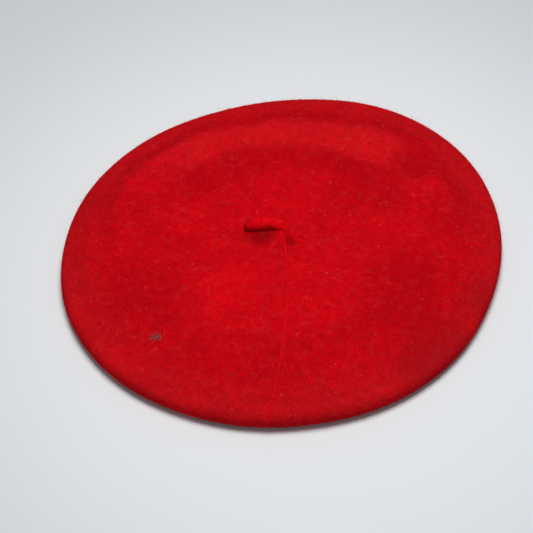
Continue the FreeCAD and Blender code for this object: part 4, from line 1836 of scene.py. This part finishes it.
@dataclass
class CareLabel:
    """The blank satin loop that hangs from the lining by its fold."""

    width: float = 26 * MM
    half_gap: float = 0.26 * MM
    cloth: float = 0.22 * MM
    margin: float = 0.16 * MM
    sway: float = 0.06 * MM

    def __post_init__(self) -> None:
        """Takes the loop's top and foot from its box."""
        low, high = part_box("care_label")
        self.top, self.foot = high.z - self.margin, low.z + self.margin

    def section(self) -> Array:
        """The loop seen from its side: down, round its foot, up and over its fold.

        Returns:
            Points outwards and up.
        """
        top, foot = self.top, self.foot
        turn = np.linspace(0, math.pi, 13)[1:-1]
        drop = np.linspace(top - self.half_gap, foot + self.half_gap, 22)
        down = np.stack([np.full_like(drop, -self.half_gap), drop], -1)
        bend = np.stack([-self.half_gap * np.cos(turn), foot + self.half_gap - self.half_gap * np.sin(turn)], -1)
        up = down[::-1] * np.array([-1, 1])
        over = np.stack([self.half_gap * np.cos(turn), top - self.half_gap + self.half_gap * np.sin(turn)], -1)
        return np.concatenate([down, bend, up, over[:-1]])

    def build(self) -> None:
        """Makes the loop, which flips on its fold."""
        hinge = next(joint for joint in frame["joints"] if joint["child"] == "care_label")
        tack_low, tack_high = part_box("care_label_tack")
        middle = (tack_low + tack_high) / 2
        out = unit(np.array([middle.x, middle.y, 0.0]))
        aside = np.array([-out[1], out[0], 0.0])
        line = self.section()
        columns = np.linspace(-1, 1, 27)
        faces = []
        for side in (-1, 1):
            normal = unit(np.stack([np.gradient(line[:, 1]), -np.gradient(line[:, 0])], -1))
            offset = line + normal * side * self.cloth / 2
            sway = self.sway * np.sin(offset[:, 1] / MM * 0.55)[:, None] * np.cos(columns * 2.4)[None]
            ring = math.hypot(middle.x, middle.y) + offset[:, :1] + sway
            faces.append(out * ring[..., None] + aside * (columns * self.width / 2)[None, :, None]
                         + np.array([0, 0, 1.0]) * offset[:, 1:, None])
        satin = WovenCloth("white_satin_tape", (0.60, 0.59, 0.56), (0.80, 0.79, 0.76), Weave.SATIN, 0.38)
        piece = slab(*faces).piece("care_label_loop", satin.material(), "label_tape", hinge["child"], ("care_label",))


def dress_kept_solids() -> None:
    """Gives the hard little pieces that keep their own solids their finishes."""
    dark_thread = SpunYarn("black_thread", (0.012, 0.011, 0.012), (0.045, 0.040, 0.042)).material()
    red_thread = SpunYarn("red_stalk_thread", (0.34, 0.002, 0.005), (0.60, 0.004, 0.010)).material()
    kept = {
        "sweatband_stitches": SpunYarn("tan_thread", (0.16, 0.11, 0.07), (0.30, 0.22, 0.15)).material(),
        "patch_stitches": dark_thread,
        "care_label_tack": dark_thread,
        "stalk_knot": red_thread,
        "lining_patch": ClearVinyl().material(),
    }
    for name, material in kept.items():
        mesh = frame["nodes"][name].data
        mesh.materials.clear()
        mesh.materials.append(material)
        LOG.info("%s: dressed", name)


# ---------------------------------------------------------------- the studio


@dataclass
class Studio:
    """The pale table, the soft light overhead, the even room and the camera."""

    target: Vector = field(default_factory=lambda: Vector((0, 0, 10 * MM)))
    elevation: float = 51.29
    distance: float = 0.888
    lens: float = 94.9
    aside: tuple[float, float] = (0.01253, 0.01459)
    table_reach: float = 5.0
    table_level: float = 3.0
    table_drop: float = 0.05 * MM
    lamp_place: tuple[float, float, float] = (0.03, 0.02, 0.95)
    lamp_size: float = 0.42
    lamp_power: float = 8.2
    lamp_colour: Colour = (1.0, 0.985, 0.965)
    room_colour: Colour = (0.93, 0.965, 1.0)
    room_strength: float = 0.26

    def build(self) -> None:
        """Sets the scene up."""
        self.table()
        self.lamp()
        self.room()
        self.camera()

    def table(self) -> None:
        """A level surface that curves up far away."""
        rings, sides = 60, 96
        ring = np.linspace(0, 1, rings + 1)[1:] ** 1.6 * self.table_reach
        height = np.where(ring > self.table_level, (ring - self.table_level) ** 2 * 0.5, 0.0) - self.table_drop
        angles = TURN * np.arange(sides) / sides
        points = np.stack([ring[:, None] * np.cos(angles), ring[:, None] * np.sin(angles),
                           np.repeat(height[:, None], sides, 1)], -1).reshape(-1, 3)
        points = np.concatenate([points, [[0, 0, -self.table_drop]]])
        step = np.arange(sides)
        cap = np.stack([np.full(sides, rings * sides), step, (step + 1) % sides], -1)
        mesh = bpy.data.meshes.new("table_top")
        mesh.from_pydata(points.tolist(), [], ring_faces(rings, sides).tolist() + cap.tolist())
        mesh.polygons.foreach_set("use_smooth", [True] * len(mesh.polygons))
        mesh.materials.append(PaleTable().material())
        mesh.update()
        table = bpy.data.objects.new("table_top", mesh)
        bpy.context.scene.collection.objects.link(table)

    def lamp(self) -> None:
        """One square soft light overhead, which faces the beret."""
        light = bpy.data.lights.new("light_overhead", "AREA")
        light.size = self.lamp_size
        light.energy = self.lamp_power
        light.color = self.lamp_colour
        lamp = bpy.data.objects.new("light_overhead", light)
        lamp.location = self.lamp_place
        lamp.rotation_euler = (self.target - Vector(self.lamp_place)).to_track_quat("-Z", "Y").to_euler()
        bpy.context.scene.collection.objects.link(lamp)

    def room(self) -> None:
        """The even, faintly cool light of the room."""
        world = bpy.data.worlds.new("even_room")
        world.use_nodes = True
        backdrop = world.node_tree.nodes["Background"]
        backdrop.inputs["Color"].default_value = (*self.room_colour, 1.0)
        backdrop.inputs["Strength"].default_value = self.room_strength
        bpy.context.scene.world = world
        bpy.context.scene.view_settings.view_transform = "Standard"

    def camera(self) -> None:
        """Looks down on the beret from the side where its join runs."""
        raise_by = math.radians(self.elevation)
        place = self.target + Vector((0, -math.cos(raise_by), math.sin(raise_by))) * self.distance
        forward = (self.target - place).normalized()
        right = forward.cross(Vector((0, 0, 1))).normalized()
        above = right.cross(forward)
        aim = forward - right * self.aside[0] - above * self.aside[1]
        lens = bpy.data.cameras.new("camera")
        lens.lens = self.lens
        lens.clip_start = 0.01
        camera = bpy.data.objects.new("camera", lens)
        camera.location = place
        camera.rotation_euler = aim.to_track_quat("-Z", "Y").to_euler()
        bpy.context.scene.collection.objects.link(camera)
        bpy.context.scene.camera = camera


def main() -> None:
    """Builds the beret's pieces in order and sets them in the studio."""
    logging.basicConfig(level=logging.INFO, format="%(name)s: %(message)s")
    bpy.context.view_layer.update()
    form = CrownForm(radius=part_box("crown_felt")[1].x)
    Studio().build()
    crown = Crown(form)
    crown.build()
    Stalk(form).build()
    Nap(crown).build()
    Clinging(form).build()
    satin = WovenCloth("black_satin", (0.010, 0.009, 0.010), (0.030, 0.027, 0.030), Weave.SATIN, 0.30).material()
    low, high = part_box("care_label_tack")
    lining = Lining(form, ((low + high) / 2, low.z), satin)
    Sweatband(form, lining).build()
    lining.build()
    CareLabel().build()
    dress_kept_solids()


if __name__ == "__main__":
    main()
